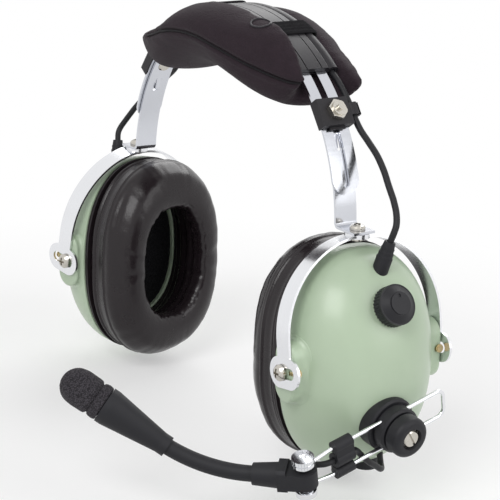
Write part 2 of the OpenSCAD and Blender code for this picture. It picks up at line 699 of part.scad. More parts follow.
// Gel seal: a fat cushion round the ear with a crown, drawn-in inner wall and a seam channel
seal_sides = 44;
seal_profile = [
  [0, 0.30], [0, 0.62], [0.04, 0.86], [0.16, 0.98], [0.27, 0.94], [0.36, 1], [0.56, 0.98],
  [0.76, 0.9], [0.91, 0.74], [0.985, 0.5], [1, 0.26], [0.95, 0.06], [0.8, 0], [0.5, 0.1]
];
module ear_seal() {
  outer_u = dome_w - 0.2;
  outer_v = dome_h + 0.3;
  rows = [for (i = [0 : seal_sides - 1]) let(a = 360 * i / seal_sides, r = super_r(a, outline_n),
      pinch = 1 - 0.05 * pow(max(0, abs(cos(a)) - 0.9) / 0.1, 2))
    [for (p = seal_profile) let(half_u = opening_w + (outer_u * pinch - opening_w) * p[1],
        half_v = opening_h + (outer_v - opening_h) * p[1])
      [-seal_in - seal_t * p[0], half_u * r * cos(a), half_v * r * sin(a)]]];
  color([0.16, 0.13, 0.14]) skin(rows, looped = true);
}

// Foam cushion that fills the pocket over the driver
liner_rows = [[0, 1], [0.55, 1], [0.86, 0.97], [1, 0.9]];
module foam_liner() {
  depth = pocket_d - 9 - liner_in;
  rows = [for (s = liner_rows) [for (p = super_ring((mouth_w - 0.3) * s[1], (mouth_h - 0.3) * s[1], outline_n, 40))
    [liner_in - rim_in + depth * (1 - s[0]), p[0], p[1]]]];
  color([0.05, 0.05, 0.06]) skin([for (i = [len(rows) - 1 : -1 : 0]) rows[i]]);
}

// Receiver behind the foam: a frame with a domed magnet cup
module driver() {
  back = pocket_d - rim_in;
  color("dimgray") {
    translate([back - 7, 0, 0]) rotate([0, 90, 0]) cylinder(d = 40, h = 3);
    translate([back - 4 - eps, 0, 0]) rotate([0, 90, 0]) cylinder(d = 26, h = 3.8);
  }
}

// Ribbed strain relief where the cord enters the dome
module cord_boot() {
  rib_step = 2.4;
  color([0.1, 0.1, 0.11]) boot_place() difference() {
    union() {
      translate([0, 0, -6.9]) cylinder(d = 7.9, h = 12);
      translate([0, 0, 5]) cylinder(d1 = 7.9, d2 = 5.4, h = boot_l - 5);
      for (i = [0 : 2]) translate([0, 0, 6 + i * rib_step]) cylinder(d = 8 - i * 0.7, h = 1.1);
    }
    translate([0, 0, boot_l - 4]) cylinder(d = cord_d + 0.2, h = 5);
  }
}

// ---- Left cup's controls ---------------------------------------------------------------

// Bushing with the bore for the main lead, flush with the dome's lower edge
module lead_gland() {
  color([0.1, 0.1, 0.11]) left_cup() translate([0, gland_u, -dome_h]) difference() {
    union() {
      cylinder(d = 2 * lead_bore_r + 6, h = 10);
      translate([0, 0, -1.5]) cylinder(d = 2 * lead_bore_r + 5, h = 1.6);
    }
    translate([0, 0, -3]) cylinder(r = lead_bore_r, h = 10);
  }
}

// Potentiometer's flange and shaft under the knob
module volume_pot() {
  color("silver") left_cup() knob_place() {
    translate([0, 0, -1.2]) cylinder(d = knob_d - 3.2, h = 2);
    cylinder(d = 6, h = knob_h - 1);
  }
}

// Fluted knob with a sloping top and a flat crown, dimpled as a pointer
module volume_knob() {
  flutes = 36;
  low = 1.1;
  color([0.11, 0.11, 0.12]) left_cup() knob_place() difference() {
    union() {
      translate([0, 0, low]) cylinder(d = knob_d, h = knob_h - low);
      translate([0, 0, knob_h - eps]) cylinder(d1 = knob_d - 1.4, d2 = knob_d - 8, h = 2.2);
      translate([0, 0, knob_h + 2.1]) cylinder(d = knob_d - 9, h = 0.6);
    }
    for (i = [0 : flutes - 1]) rotate([0, 0, 360 * i / flutes]) translate([knob_d / 2 + 0.25, 0, low - 1])
      cylinder(d = 1.3, h = knob_h - low - 0.4, $fn = 14);
    translate([0, 0, -1]) cylinder(d = 6 + 2 * run, h = knob_h + 0.15);
    translate([-knob_d / 2 + 6, 0, knob_h + 2.2]) cylinder(d = 1.8, h = 2);
  }
}

// Fixed flange seated in the dome under the boom's clamp
module boom_flange() {
  color([0.13, 0.13, 0.14]) left_cup() boom_place() difference() {
    union() {
      translate([0, 0, -7]) cylinder(d = flange_d - 0.1, h = 7 + flange_top - 1);
      translate([0, 0, flange_top - 1 - eps]) cylinder(d1 = flange_d - 0.1, d2 = flange_d - 2.1, h = 1 + eps);
    }
    translate([0, 0, -3]) cylinder(d = 6 + 2 * run, h = 10);
    translate([0, 0, flange_top - 0.6]) rotate_extrude() translate([clamp_d / 2 - 3.4, 0]) square([1, 2]);
  }
}

module wire_frame() {
  rotate([0, 0, -90 + wire_slope]) children();
}

// Turning clamp: two bores let the wires slide through it
module boom_hub() {
  color([0.14, 0.14, 0.15]) left_cup() boom_place() difference() {
    union() {
      translate([0, 0, -2.9]) cylinder(d = 6, h = 2.9 + hub_low + eps);
      translate([0, 0, hub_low]) cylinder(d = clamp_d, h = hub_high - hub_low - 1);
      translate([0, 0, hub_high - 1 - eps]) cylinder(d1 = clamp_d, d2 = clamp_d - 2, h = 1);
    }
    wire_frame() for (side = [-1, 1])
      translate([-clamp_d, side * wire_half, wire_s]) rotate([0, 90, 0])
        cylinder(d = wire_d + 2 * run, h = 2 * clamp_d);
    translate([0, 0, hub_high - 4]) cylinder(d = 4, h = 10);
  }
}

// Round tightening knob with a soft edge and a countersunk middle
module boom_knob() {
  edge = 3;
  color([0.14, 0.14, 0.15]) left_cup() boom_place() difference() {
    union() {
      translate([0, 0, hub_high + 0.1]) cylinder(d = clamp_knob_d - 2, h = knob_low - hub_high);
      translate([0, 0, knob_low]) cylinder(d = clamp_knob_d, h = knob_high - knob_low - edge);
      translate([0, 0, knob_high - edge]) cylinder(d = clamp_knob_d - 2 * edge, h = edge);
      translate([0, 0, knob_high - edge]) rotate_extrude() translate([clamp_knob_d / 2 - edge, 0])
        intersection() {
          circle(r = edge, $fn = 32);
          square([edge, edge]);
        }
    }
    translate([0, 0, hub_high - 1]) cylinder(d = 3.4, h = 12);
    translate([0, 0, knob_high - 2.6]) cylinder(d1 = 9.2, d2 = 11, h = 3);
  }
}

// Slotted screw through the knob into the clamp
module boom_knob_screw() {
  color("silver") left_cup() boom_place() difference() {
    union() {
      translate([0, 0, hub_high - 3.8]) cylinder(d = 3.2, h = knob_high - hub_high + 1.4);
      translate([0, 0, knob_high - 2.5]) cylinder(d = 9, h = 1.2);
      translate([0, 0, knob_high - 1.3 - eps]) cylinder(d1 = 9, d2 = 7.4, h = 0.8);
    }
    rotate([0, 0, 35]) translate([-5, -0.6, knob_high - 1.5]) cube([10, 1.2, 2]);
  }
}

// ---- Boom wire and its lead clip -------------------------------------------------------

module wire_run(from, to) {
  span = to - from;
  translate(from) rotate([0, 0, atan2(span[1], span[0])]) rotate([0, 90, 0]) cylinder(d = wire_d, h = norm(span), $fn = 24);
}

// Wire bent into a long loop whose two ends close as eyes round the pin
module boom_wire() {
  corner = 4;
  start = [taper_x, wire_half, 0];
  finish = [wire_ahead - eye_r + 0.3, pin_half, 0];
  color("gainsboro") left_cup() boom_place() wire_frame() translate([0, 0, wire_s]) difference() {
    union() for (side = [0, 1]) mirror([0, side, 0]) {
      wire_run([-wire_behind + corner, wire_half, 0], start);
      wire_run(start, finish);
      translate(start) sphere(d = wire_d, $fn = 24);
      translate([-wire_behind + corner, wire_half - corner, 0]) rotate([0, 0, 90])
        rotate_extrude(angle = 90, $fn = 48) translate([corner, 0]) circle(d = wire_d, $fn = 24);
      translate([-wire_behind, 0, 0]) rotate([-90, 0, 0]) cylinder(d = wire_d, h = wire_half - corner + eps, $fn = 24);
      translate([wire_ahead, pin_half, 0]) rotate([-90, 0, 0])
        rotate_extrude($fn = 36) translate([eye_r, 0]) circle(d = wire_d, $fn = 24);
    }
    translate([wire_ahead, -wire_gap, 0]) rotate([-90, 0, 0]) cylinder(d = pin_d + 2 * run, h = 2 * wire_gap);
  }
}

// Clip of three short sleeves, one on each wire and one for the microphone lead
module lead_clip() {
  sleeve_d = 6;
  lead_sleeve_d = 7.5;
  color([0.12, 0.12, 0.13]) left_cup() boom_place() wire_frame()
    translate([clip_x - clip_l / 2, 0, wire_s]) rotate([0, 90, 0]) difference() {
      union() {
        for (side = [-1, 1]) {
          translate([0, side * wire_half, 0]) cylinder(d = sleeve_d, h = clip_l);
          translate([side * 1.9 - 0.9, side > 0 ? 0 : -wire_half, 0]) cube([1.8, wire_half, clip_l]);
        }
        cylinder(d = lead_sleeve_d, h = clip_l);
      }
      for (side = [-1, 1]) translate([0, side * wire_half, -1]) cylinder(d = wire_d + 2 * run, h = clip_l + 2);
      translate([0, 0, -1]) cylinder(d = mic_lead_d + 0.6, h = clip_l + 2);
    }
}

// ---- Microphone arm --------------------------------------------------------------------

// Local X runs along the arm from its pin, Y points down the pin
module arm_place() {
  left_cup() boom_place() wire_frame() translate([wire_ahead, 0, wire_s]) rotate([0, arm_yaw, 0]) children();
}

// Local Z runs along the gooseneck's own line at a share of its bend
module neck_place(angle) {
  arm_place() rotate([neck_roll, 0, 0]) translate([fitting_l, -neck_r, 0]) rotate([0, 0, -angle])
    translate([0, neck_r, 0]) rotate([0, 90, 0]) children();
}

// Moulded fitting with a tang between the wires, tapering to the gooseneck
module boom_fitting() {
  tang_h = 2 * pin_half - wire_d - 0.5;
  body_h = 12.4;
  tang_l = 7.6;
  taper_l = 12;
  color([0.15, 0.15, 0.16]) arm_place() difference() {
    union() {
      rotate([90, 0, 0]) cylinder(d = 12, h = tang_h, center = true);
      translate([0, -tang_h / 2, -6]) cube([tang_l + 2, tang_h, 12]);
      translate([tang_l, 0, 0]) intersection() {
        translate([0, -body_h / 2, -6]) cube([fitting_l - taper_l - tang_l, body_h, 12]);
        rotate([0, 90, 0]) cylinder(d = 15.4, h = fitting_l);
      }
      translate([fitting_l - taper_l - eps, 0, 0]) rotate([0, 90, 0]) cylinder(d1 = 12.2, d2 = 10.4, h = taper_l);
    }
    rotate([90, 0, 0]) cylinder(d = pin_d + 2 * run, h = 20, center = true);
    translate([fitting_l - 8, 0, 0]) rotate([0, 90, 0]) cylinder(d = neck_d, h = 10);
    translate([4, 0, -9]) cylinder(d = mic_lead_d + 0.8, h = 5.4);
  }
}

// Pin with a knurled nut at each end
module boom_pin() {
  nut_low = pin_half + wire_d / 2 + 0.5;
  top_h = 4.2;
  bottom_h = 2.8;
  knurls = 24;
  color("silver") left_cup() boom_place() wire_frame() translate([wire_ahead, 0, wire_s]) rotate([90, 0, 0]) difference() {
    union() {
      cylinder(d = pin_d, h = 2 * nut_low + 2, center = true);
      translate([0, 0, nut_low]) cylinder(d = 10.5, h = 1.6);
      translate([0, 0, nut_low + 1.5]) cylinder(d = 9.6, h = 0.8);
      translate([0, 0, nut_low + 2.2]) cylinder(d = 10.5, h = top_h - 2.2);
      translate([0, 0, -nut_low - bottom_h]) cylinder(d = 10, h = bottom_h);
    }
    for (i = [0 : knurls - 1]) rotate([0, 0, 360 * i / knurls]) translate([5.45, 0, nut_low - 1])
      cylinder(d = 0.7, h = top_h + 2, $fn = 4);
    translate([0, 0, nut_low + top_h - 0.8]) cylinder(d1 = 2, d2 = 4, h = 1);
  }
}

// Flexible metal neck, bent upward on a plain arc
module gooseneck() {
  color([0.16, 0.16, 0.17]) arm_place() rotate([neck_roll, 0, 0]) {
    translate([fitting_l - 7.5, 0, 0]) rotate([0, 90, 0]) cylinder(d = neck_d - 0.1, h = 7.5 + eps);
    translate([fitting_l, -neck_r, 0]) rotate([0, 0, 90 - neck_bend]) rotate_extrude(angle = neck_bend, $fn = 180)
      translate([neck_r, 0]) circle(d = neck_d, $fn = 40);
  }
}

// Rubber boot that widens from the gooseneck to the microphone
module mic_boot() {
  collar = 3;
  color([0.15, 0.15, 0.16]) neck_place(neck_bend) difference() {
    union() {
      translate([0, 0, -4]) cylinder(d = neck_d + 2.4, h = 4 + eps);
      cylinder(d1 = neck_d + 2.4, d2 = mic_d, h = mic_boot_l - collar);
      translate([0, 0, mic_boot_l - collar - eps]) cylinder(d = mic_d, h = collar);
    }
    translate([0, 0, -5]) cylinder(d = neck_d + 0.4, h = 5);
    translate([0, 0, mic_boot_l - 4]) cylinder(d = mic_d - 5, h = 5);
  }
}

// Microphone capsule inside the boot and the windscreen
module mic_capsule() {
  color("dimgray") neck_place(neck_bend) translate([0, 0, mic_boot_l - 3.9]) cylinder(d = mic_d - 5.2, h = 13);
}

// Foam windscreen with a round end and a waist near the boot
module windscreen() {
  waist = 1.6;
  waist_at = 3.2;
  tip = mic_d / 2;
  color([0.27, 0.26, 0.26]) neck_place(neck_bend) translate([0, 0, mic_boot_l + 0.1]) difference() {
    union() {
      cylinder(d = mic_d, h = screen_l - tip);
      translate([0, 0, screen_l - tip]) sphere(d = mic_d);
    }
    translate([0, 0, waist_at]) rotate_extrude() translate([mic_d / 2 + waist / 3, 0]) circle(d = waist, $fn = 20);
    translate([0, 0, -1]) cylinder(d = mic_d - 5, h = 10.3);
  }
}

// ---- Cords -----------------------------------------------------------------------------

// A point turned about the Y or the Z axis
function turned_y(p, a) = [p[0] * cos(a) + p[2] * sin(a), p[1], p[2] * cos(a) - p[0] * sin(a)];
function turned_z(p, a) = [p[0] * cos(a) - p[1] * sin(a), p[0] * sin(a) + p[1] * cos(a), p[2]];
// Point beside the headband at an elevation, a distance outside the strip
function arc_point(angle, out, y) = [(band_r + out) * cos(angle), y, arc_z + (band_r + out) * sin(angle)];
// Point on the boot's axis, and a cup's point in the axes of the side it hangs on
function boot_point(s) = [boot_w, boot_u, dome_h - boot_in]
  + turned_y([0, s * sin(boot_lean), s * cos(boot_lean)], boot_lean);
function cup_point(p, tilt, toe) =
  turned_z(turned_y(p, -tilt) + [pivot_x - swivel_x, 0, 0], -toe) + [swivel_x, 0, 0];

// From the cover's channel through the block's hook, then swaying out and down into the boot
function cord_route(out, sway, tilt, toe) =
  let(start_a = cover_end_a + arc_deg(out, slide_r), hook = arc_point(clamp_a - 1.5, hook_out, channel_y),
    top = cup_point(boot_point(boot_l), tilt, toe))
  concat(
    [arc_point(start_a, channel_r - band_r, channel_y), arc_point(start_a - 4.1, 0.5, channel_y),
      arc_point((start_a + clamp_a) / 2 - 1, 1.1, channel_y), arc_point(clamp_a + 2.1, hook_out, channel_y), hook],
    [for (s = sway) hook + s[0] * (top - hook) + [s[1], s[2], s[3]]],
    [top, cup_point(boot_point(boot_l - 3), tilt, toe)]
  );

module left_cord_run() {
  color("black") left_side() tube(cord_route(0, left_sway, left_tilt, left_toe), cord_d);
}

module right_cord_run() {
  color("black") right_side() tube(cord_route(right_out, right_sway, 0, right_toe), cord_d);
}

module mic_lead_rear() { color("black") left_cup() boom_place() tube(rear_route, mic_lead_d, [0.5, 0.3, 0.8]); }

module mic_lead_front() { color("black") left_cup() boom_place() tube(front_route, mic_lead_d, [0.5, 0.3, 0.8]); }

// ---- The two sides ---------------------------------------------------------------------

module left_slide() { left_side() slide(); }
module left_adjuster_block() { left_side() adjuster_block(); }
module left_adjuster_screw() { left_side() adjuster_screw(); }
module left_adjuster_nut() { left_side() adjuster_nut(); }
module left_stirrup() { left_side() toed(left_toe) stirrup(); }
module left_swivel_screw() { left_side() toed(left_toe) swivel_screw(); }
module left_pivot_screws() { left_cup() pivot_screws(); }
module left_slot_springs() { left_cup() slot_springs(left_tilt); }
module left_seal_ring() { left_cup() seal_ring(); }
module left_ear_seal() { left_cup() ear_seal(); }
module left_foam_liner() { left_cup() foam_liner(); }
module left_driver() { left_cup() driver(); }
module left_cord_boot() { left_cup() cord_boot(); }

module right_slide() { right_side() slide(); }
module right_adjuster_block() { right_side() adjuster_block(); }
module right_adjuster_screw() { right_side() adjuster_screw(); }
module right_adjuster_nut() { right_side() adjuster_nut(); }
module right_stirrup() { right_side() toed(right_toe) stirrup(); }
module right_swivel_screw() { right_side() toed(right_toe) swivel_screw(); }
module right_pivot_screws() { right_cup() pivot_screws(); }
module right_slot_springs() { right_cup() slot_springs(0); }
module right_seal_ring() { right_cup() seal_ring(); }
module right_ear_seal() { right_cup() ear_seal(); }
module right_foam_liner() { right_cup() foam_liner(); }
module right_driver() { right_cup() driver(); }
module right_cord_boot() { right_cup() cord_boot(); }

spring_band();
band_cover();
head_pad();
pad_snap();
pad_straps();
cord_top();
left_slide();
left_adjuster_block();
left_adjuster_screw();
left_adjuster_nut();
left_cord_run();
left_stirrup();
left_swivel_screw();
left_dome();
left_pivot_screws();
left_slot_springs();
left_seal_ring();
left_ear_seal();
left_foam_liner();
left_driver();
left_cord_boot();
right_slide();
right_adjuster_block();
right_adjuster_screw();
right_adjuster_nut();
right_cord_run();
right_stirrup();
right_swivel_screw();
right_dome();
right_pivot_screws();
right_slot_springs();
right_seal_ring();
right_ear_seal();
right_foam_liner();
right_driver();
right_cord_boot();
lead_gland();
volume_pot();
volume_knob();
boom_flange();
boom_hub();
boom_knob();
boom_knob_screw();
boom_wire();
lead_clip();
boom_fitting();
boom_pin();
gooseneck();
mic_boot();
mic_capsule();
windscreen();
mic_lead_rear();
mic_lead_front();
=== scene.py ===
"""Aviation headset, dressed: smooth shells, soft goods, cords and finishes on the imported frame.

Lengths in the shape functions are millimetres in the headset's own axes (X to the wearer's left, -Y ahead,
Z up) and angles are degrees unless a name says otherwise; meshes are written in metres."""

from types import SimpleNamespace

import bmesh
import bpy
import numpy as np
from bpy.props import FloatProperty, FloatVectorProperty, PointerProperty
from mathutils import Matrix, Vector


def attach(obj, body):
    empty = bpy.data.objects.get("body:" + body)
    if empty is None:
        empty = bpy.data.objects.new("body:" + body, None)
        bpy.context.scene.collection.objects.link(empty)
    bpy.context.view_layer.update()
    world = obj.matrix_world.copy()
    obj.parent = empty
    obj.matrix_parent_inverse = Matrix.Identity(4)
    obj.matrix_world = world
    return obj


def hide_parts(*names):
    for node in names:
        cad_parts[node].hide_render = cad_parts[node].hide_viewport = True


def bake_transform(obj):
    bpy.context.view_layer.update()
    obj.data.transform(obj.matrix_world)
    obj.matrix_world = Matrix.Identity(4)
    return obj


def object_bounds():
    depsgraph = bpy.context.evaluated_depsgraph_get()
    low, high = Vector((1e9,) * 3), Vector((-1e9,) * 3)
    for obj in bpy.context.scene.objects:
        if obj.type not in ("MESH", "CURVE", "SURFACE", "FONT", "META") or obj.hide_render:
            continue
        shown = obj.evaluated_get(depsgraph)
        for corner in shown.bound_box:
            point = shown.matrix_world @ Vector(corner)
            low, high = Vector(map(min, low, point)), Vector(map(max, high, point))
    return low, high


bl_info = {
    "name": "Aviation headset",
    "version": (1, 0, 0),
    "blender": (4, 5, 0),
    "location": "View3D > Sidebar > Headset",
    "description": "Dresses the headset's frame with its shells, cushions, cords and finishes",
    "category": "Add Mesh",
}

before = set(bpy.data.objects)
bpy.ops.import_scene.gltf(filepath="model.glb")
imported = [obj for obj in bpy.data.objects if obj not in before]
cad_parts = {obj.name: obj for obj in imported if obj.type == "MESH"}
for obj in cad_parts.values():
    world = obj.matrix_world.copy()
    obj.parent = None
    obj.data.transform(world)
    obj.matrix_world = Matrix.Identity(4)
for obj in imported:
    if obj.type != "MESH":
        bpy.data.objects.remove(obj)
cad_box = [list(corner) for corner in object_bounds()]
MM = 0.001
SIDES = ("left", "right")


def srgb(red, green, blue):
    """Linear colour of an 8-bit display colour: ((c + 0.055) / 1.055) ^ 2.4 above the toe."""
    c = np.array([red, green, blue]) / 255
    return tuple(np.where(c > 0.04045, ((c + 0.055) / 1.055) ** 2.4, c / 12.92))


# ---- What a user may change ------------------------------------------------------------


def length(name, description, default):
    """A size property whose default is given in millimetres."""
    return FloatProperty(name=name, description=description, default=default * MM, min=0, unit="LENGTH")


def colour(name, description, *rgb):
    """A colour property whose default is given as an 8-bit display colour."""
    return FloatVectorProperty(
        name=name, description=description, default=srgb(*rgb), size=3, min=0, max=1, subtype="COLOR"
    )


class HeadsetSizes(bpy.types.PropertyGroup):
    """Sizes of the smooth pieces, as in the part's own source"""

    dome_half_width: length("Dome half width", "Front to rear", 39.8)
    dome_half_height: length("Dome half height", "Top to bottom", 54.8)
    dome_depth: length("Dome depth", "From the rim to the crown", 40)
    rim_inside: length("Rim inside pivots", "How far the rim lies inside the pivot line", 10)
    seal_thickness: length("Seal thickness", "From the hard ring to the face of the seal", 29)
    opening_half_width: length("Opening half width", "Half width of the ear opening", 21.3)
    opening_half_height: length("Opening half height", "Half height of the ear opening", 31.2)
    pad_half_width: length("Pad half width", "Front to rear", 36.2)
    pad_depth: length("Pad depth", "From the strip to the underside in the middle", 24.8)
    pad_crest: length("Pad crest", "Height of the front roll above the strip", 3.7)
    cord_diameter: length("Cord diameter", "Cord between the cups", 3.2)
    lead_diameter: length("Microphone lead diameter", "Lead from the cup to the boom", 3)
    microphone_diameter: length("Microphone diameter", "Boot and windscreen", 17.5)
    windscreen_length: length("Windscreen length", "Foam over the microphone", 23)


class HeadsetColours(bpy.types.PropertyGroup):
    """Base colours of the finishes"""

    dome: colour("Dome", "Moulded ear cups", 178, 196, 170)
    vinyl: colour("Vinyl", "Ear seals", 31, 25, 28)
    knit: colour("Knit", "Head pad", 43, 34, 40)
    elastic: colour("Elastic", "Straps over the band", 18, 17, 20)
    cover: colour("Cover", "Moulded band cover", 34, 32, 36)
    rubber: colour("Rubber", "Cords, boots and boom fittings", 30, 30, 34)
    knob: colour("Knob", "Volume knob and boom clamp", 27, 27, 31)
    screen: colour("Windscreen", "Open foam", 68, 65, 70)
    liner: colour("Liner", "Foam in the cups", 24, 24, 27)
    steel: colour("Steel", "Spring strip and slides", 208, 210, 216)
    stirrup: colour("Stirrups", "Bright plated steel", 232, 233, 236)
    nickel: colour("Nickel", "Screws and nuts", 196, 192, 184)
    brass: colour("Coil", "Small springs beside the pivots", 190, 172, 130)


def sizes_in_mm():
    """The scene's sizes as plain numbers of millimetres."""
    given = bpy.context.scene.headset_sizes
    return SimpleNamespace(**{key: getattr(given, key) / MM for key in HeadsetSizes.__annotations__})


def colours():
    return bpy.context.scene.headset_colours


# ---- Placement, as 4 x 4 matrices in millimetres ---------------------------------------


def move(x, y, z):
    m = np.eye(4)
    m[:3, 3] = (x, y, z)
    return m


def turn(axis, degrees):
    """Right-handed turn about one of the axes."""
    return np.array(Matrix.Rotation(np.radians(degrees), 4, axis))


def apply(matrix, points):
    """M p for every point of an array."""
    return points @ matrix[:3, :3].T + matrix[:3, 3]


# Centre height and radius of the headband's arc; where each cup's foot screw and pivots stand; how far the
# right slide is drawn out along the arc; how the cups are turned about the screw and tilted in the stirrup
ARC_Z, BAND_R = 56.684, 93.0
SWIVEL_X, PIVOT_X = 100.7, 109.167
RIGHT_DRAWN = 2.004
LEFT_TOE, RIGHT_TOE, LEFT_TILT = 2.5, 10.0, 3.0
MIRROR_X = np.diag([-1.0, 1, 1, 1])


def toed(angle):
    """Turn about the foot screw, the cup's front edge inwards."""
    return move(SWIVEL_X, 0, 0) @ turn("Z", -angle) @ move(-SWIVEL_X, 0, 0)


def cup_place(side):
    """A cup's own axes, X outward from its pivot line, carried to where the cup hangs."""
    if side == "left":
        return toed(LEFT_TOE) @ move(PIVOT_X, 0, 0) @ turn("Y", -LEFT_TILT)
    drawn = move(0, 0, ARC_Z) @ turn("Y", RIGHT_DRAWN) @ move(0, 0, -ARC_Z)
    return MIRROR_X @ drawn @ toed(RIGHT_TOE) @ move(PIVOT_X, 0, 0)


def on_band(angle, y, radius):
    """Point at an angle from the top of the headband: (r sin a, y, z0 + r cos a)."""
    a = np.radians(angle)
    return np.stack(np.broadcast_arrays(radius * np.sin(a), y, ARC_Z + radius * np.cos(a)), -1)


# ---- Meshes from arrays ----------------------------------------------------------------


def smooth_step(x):
    """3t^2 - 2t^3, with t held from 0 to 1."""
    t = np.clip(x, 0, 1)
    return t * t * (3 - 2 * t)


def bell(x, centre, width):
    """exp(-((x - centre) / width)^2)."""
    return np.exp(-(((x - centre) / width) ** 2))


def circle(count):
    """Angles in radians of a number of points round a circle."""
    return np.linspace(0, 2 * np.pi, count, endpoint=False)


def unit(vector):
    return vector / np.linalg.norm(vector)


def catmull(points, per_span, looped=False):
    """Smooth line through points a, b, c, d ... whose span from b to c is, with t from 0 to 1,
    0.5 (2b + (c - a) t + (2a - 5b + 4c - d) t^2 + (3b - a - 3c + d) t^3)."""
    p = np.asarray(points, float)
    if looped:
        p = np.concatenate([p[-1:], p, p[:2]])
    else:
        p = np.concatenate([[2 * p[0] - p[1]], p, [2 * p[-1] - p[-2]]])
    t = (np.arange(per_span) / per_span)[None, :, None]
    a, b, c, d = p[:-3, None], p[1:-2, None], p[2:-1, None], p[3:, None]
    line = 0.5 * (2 * b + (c - a) * t + (2 * a - 5 * b + 4 * c - d) * t**2 + (3 * b - a - 3 * c + d) * t**3)
    line = line.reshape(-1, p.shape[1])
    return line if looped else np.concatenate([line, p[-2:-1]])


def object_from(name, points, faces):
    """Object at the origin whose mesh holds points given in millimetres. The corners of each face are taken
    the other way round where the volume under the first array of faces comes out negative."""
    corners = np.asarray(faces[0])
    p = points[corners[:, :3]]
    volume = np.einsum("ij,ij->", p[:, 0], np.cross(p[:, 1], p[:, 2]))
    if corners.shape[1] == 4:
        q = points[corners[:, [0, 2, 3]]]
        volume += np.einsum("ij,ij->", q[:, 0], np.cross(q[:, 1], q[:, 2]))
    turned = [f[:, ::-1] if volume < 0 else f for f in faces]
    mesh = bpy.data.meshes.new(name)
    mesh.from_pydata((points * MM).tolist(), [], [row for f in turned for row in f.tolist()])
    mesh.update()
    mesh.shade_smooth()
    obj = bpy.data.objects.new(name, mesh)
    bpy.context.scene.collection.objects.link(obj)
    return obj


def loft(name, rings, looped=False):
    """Skin over rings of equal length, an array (ring, point, 3): closed round each ring, and round the rings
    if looped, otherwise closed by a fan at each end."""
    count, sides = rings.shape[:2]
    grid = np.arange(count * sides).reshape(count, sides)
    low = grid if looped else grid[:-1]
    high = np.roll(grid, -1, 0) if looped else grid[1:]
    quads = np.stack([low, high, np.roll(high, -1, 1), np.roll(low, -1, 1)], -1).reshape(-1, 4)
    points = rings.reshape(-1, 3)
    if looped:
        return object_from(name, points, [quads])
    ends = np.stack([rings[0].mean(0), rings[-1].mean(0)])
    first, last = grid[0], grid[-1]
    fans = np.concatenate([
        np.stack([first, np.roll(first, -1), np.full(sides, len(points))], -1),
        np.stack([np.roll(last, -1), last, np.full(sides, len(points) + 1)], -1),
    ])
    return object_from(name, np.concatenate([points, ends]), [quads, fans])


def carried(line, section_r, sides=20):
    """Rings of a round section along a line, each turned as little as possible from the one before."""
    tangent = np.gradient(line, axis=0)
    tangent /= np.linalg.norm(tangent, axis=1, keepdims=True)
    normal = np.empty_like(tangent)
    across = np.cross(tangent[0], (0.2, 0.5, 1))
    for i, t in enumerate(tangent):
        across = across - t * (across @ t)
        across /= np.linalg.norm(across)
        normal[i] = across
    side = np.cross(tangent, normal)
    a = circle(sides)
    radius = np.broadcast_to(section_r, len(line))[:, None, None]
    rim = np.cos(a)[None, :, None] * normal[:, None] + np.sin(a)[None, :, None] * side[:, None]
    return line[:, None] + radius * rim


def cord_mesh(name, line, diameter, sides=20):
    """Round cord along a line with a half-round end beyond each end of it."""
    turns = np.radians([80, 60, 40, 20])
    r = diameter / 2
    start, end = unit(line[0] - line[1]), unit(line[-1] - line[-2])
    before = line[0] + r * np.sin(turns)[:, None] * start
    after = line[-1] + r * np.sin(turns[::-1])[:, None] * end
    radius = np.concatenate([r * np.cos(turns), np.full(len(line), r), r * np.cos(turns[::-1])])
    return loft(name, carried(np.concatenate([before, line, after]), radius, sides))


def super_radius(a, n):
    """Distance to a unit superellipse: 1 / (|cos a|^n + |sin a|^n)^(1/n)."""
    return 1 / (np.abs(np.cos(a)) ** n + np.abs(np.sin(a)) ** n) ** (1 / n)


def displace(obj, amount):
    """Moves each vertex along its normal by an array of millimetres."""
    mesh = obj.data
    co, no = np.empty(len(mesh.vertices) * 3, np.float32), np.empty(len(mesh.vertices) * 3, np.float32)
    mesh.vertices.foreach_get("co", co)
    mesh.vertices.foreach_get("normal", no)
    co += no * np.repeat(amount, 3).astype(np.float32) * MM
    mesh.vertices.foreach_set("co", co)
    mesh.update()


def vertex_points(obj):
    """Vertices in millimetres."""
    co = np.empty(len(obj.data.vertices) * 3, np.float32)
    obj.data.vertices.foreach_get("co", co)
    return co.reshape(-1, 3).astype(float) / MM


def put_points(obj, points):
    """Writes vertices given in millimetres."""
    obj.data.vertices.foreach_set("co", (points * MM).astype(np.float32).ravel())
    obj.data.update()


def edge_ends(obj):
    """The two vertex numbers of every edge."""
    ends = np.empty(len(obj.data.edges) * 2, np.int32)
    obj.data.edges.foreach_get("vertices", ends)
    return ends.reshape(-1, 2)


def apply_modifier(obj, modifier):
    with bpy.context.temp_override(object=obj, active_object=obj):
        bpy.ops.object.modifier_apply(modifier=modifier.name)


def finish_piece(obj, body, material, nodes=()):
    """Gives a piece its finish and hides the CAD nodes it stands for. The body is one name, which the piece
    is attached to, or two names and two points, which are not used: such a piece stays where it stands."""
    obj.data.materials.clear()
    obj.data.materials.append(material)
    if isinstance(body, str):
        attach(obj, body)
    else:
        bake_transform(obj)
    if nodes:
        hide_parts(*nodes)
    return obj


# ---- Shader effects shared by the finishes ---------------------------------------------


def effect(name, inputs, outputs, build):
    """A shader node group made once: inputs (name, default) and outputs (name, socket type), filled in by
    build, which gets the tree, its input sockets and its output sockets."""
    group = bpy.data.node_groups.get(name)
    if group:
        return group
    group = bpy.data.node_groups.new(name, "ShaderNodeTree")
    for label, default in inputs:
        socket = group.interface.new_socket(label, in_out="INPUT", socket_type="NodeSocketFloat")
        socket.default_value = default
    for label, kind in outputs:
        group.interface.new_socket(label, in_out="OUTPUT", socket_type=kind)
    build(group, group.nodes.new("NodeGroupInput").outputs, group.nodes.new("NodeGroupOutput").inputs)
    return group


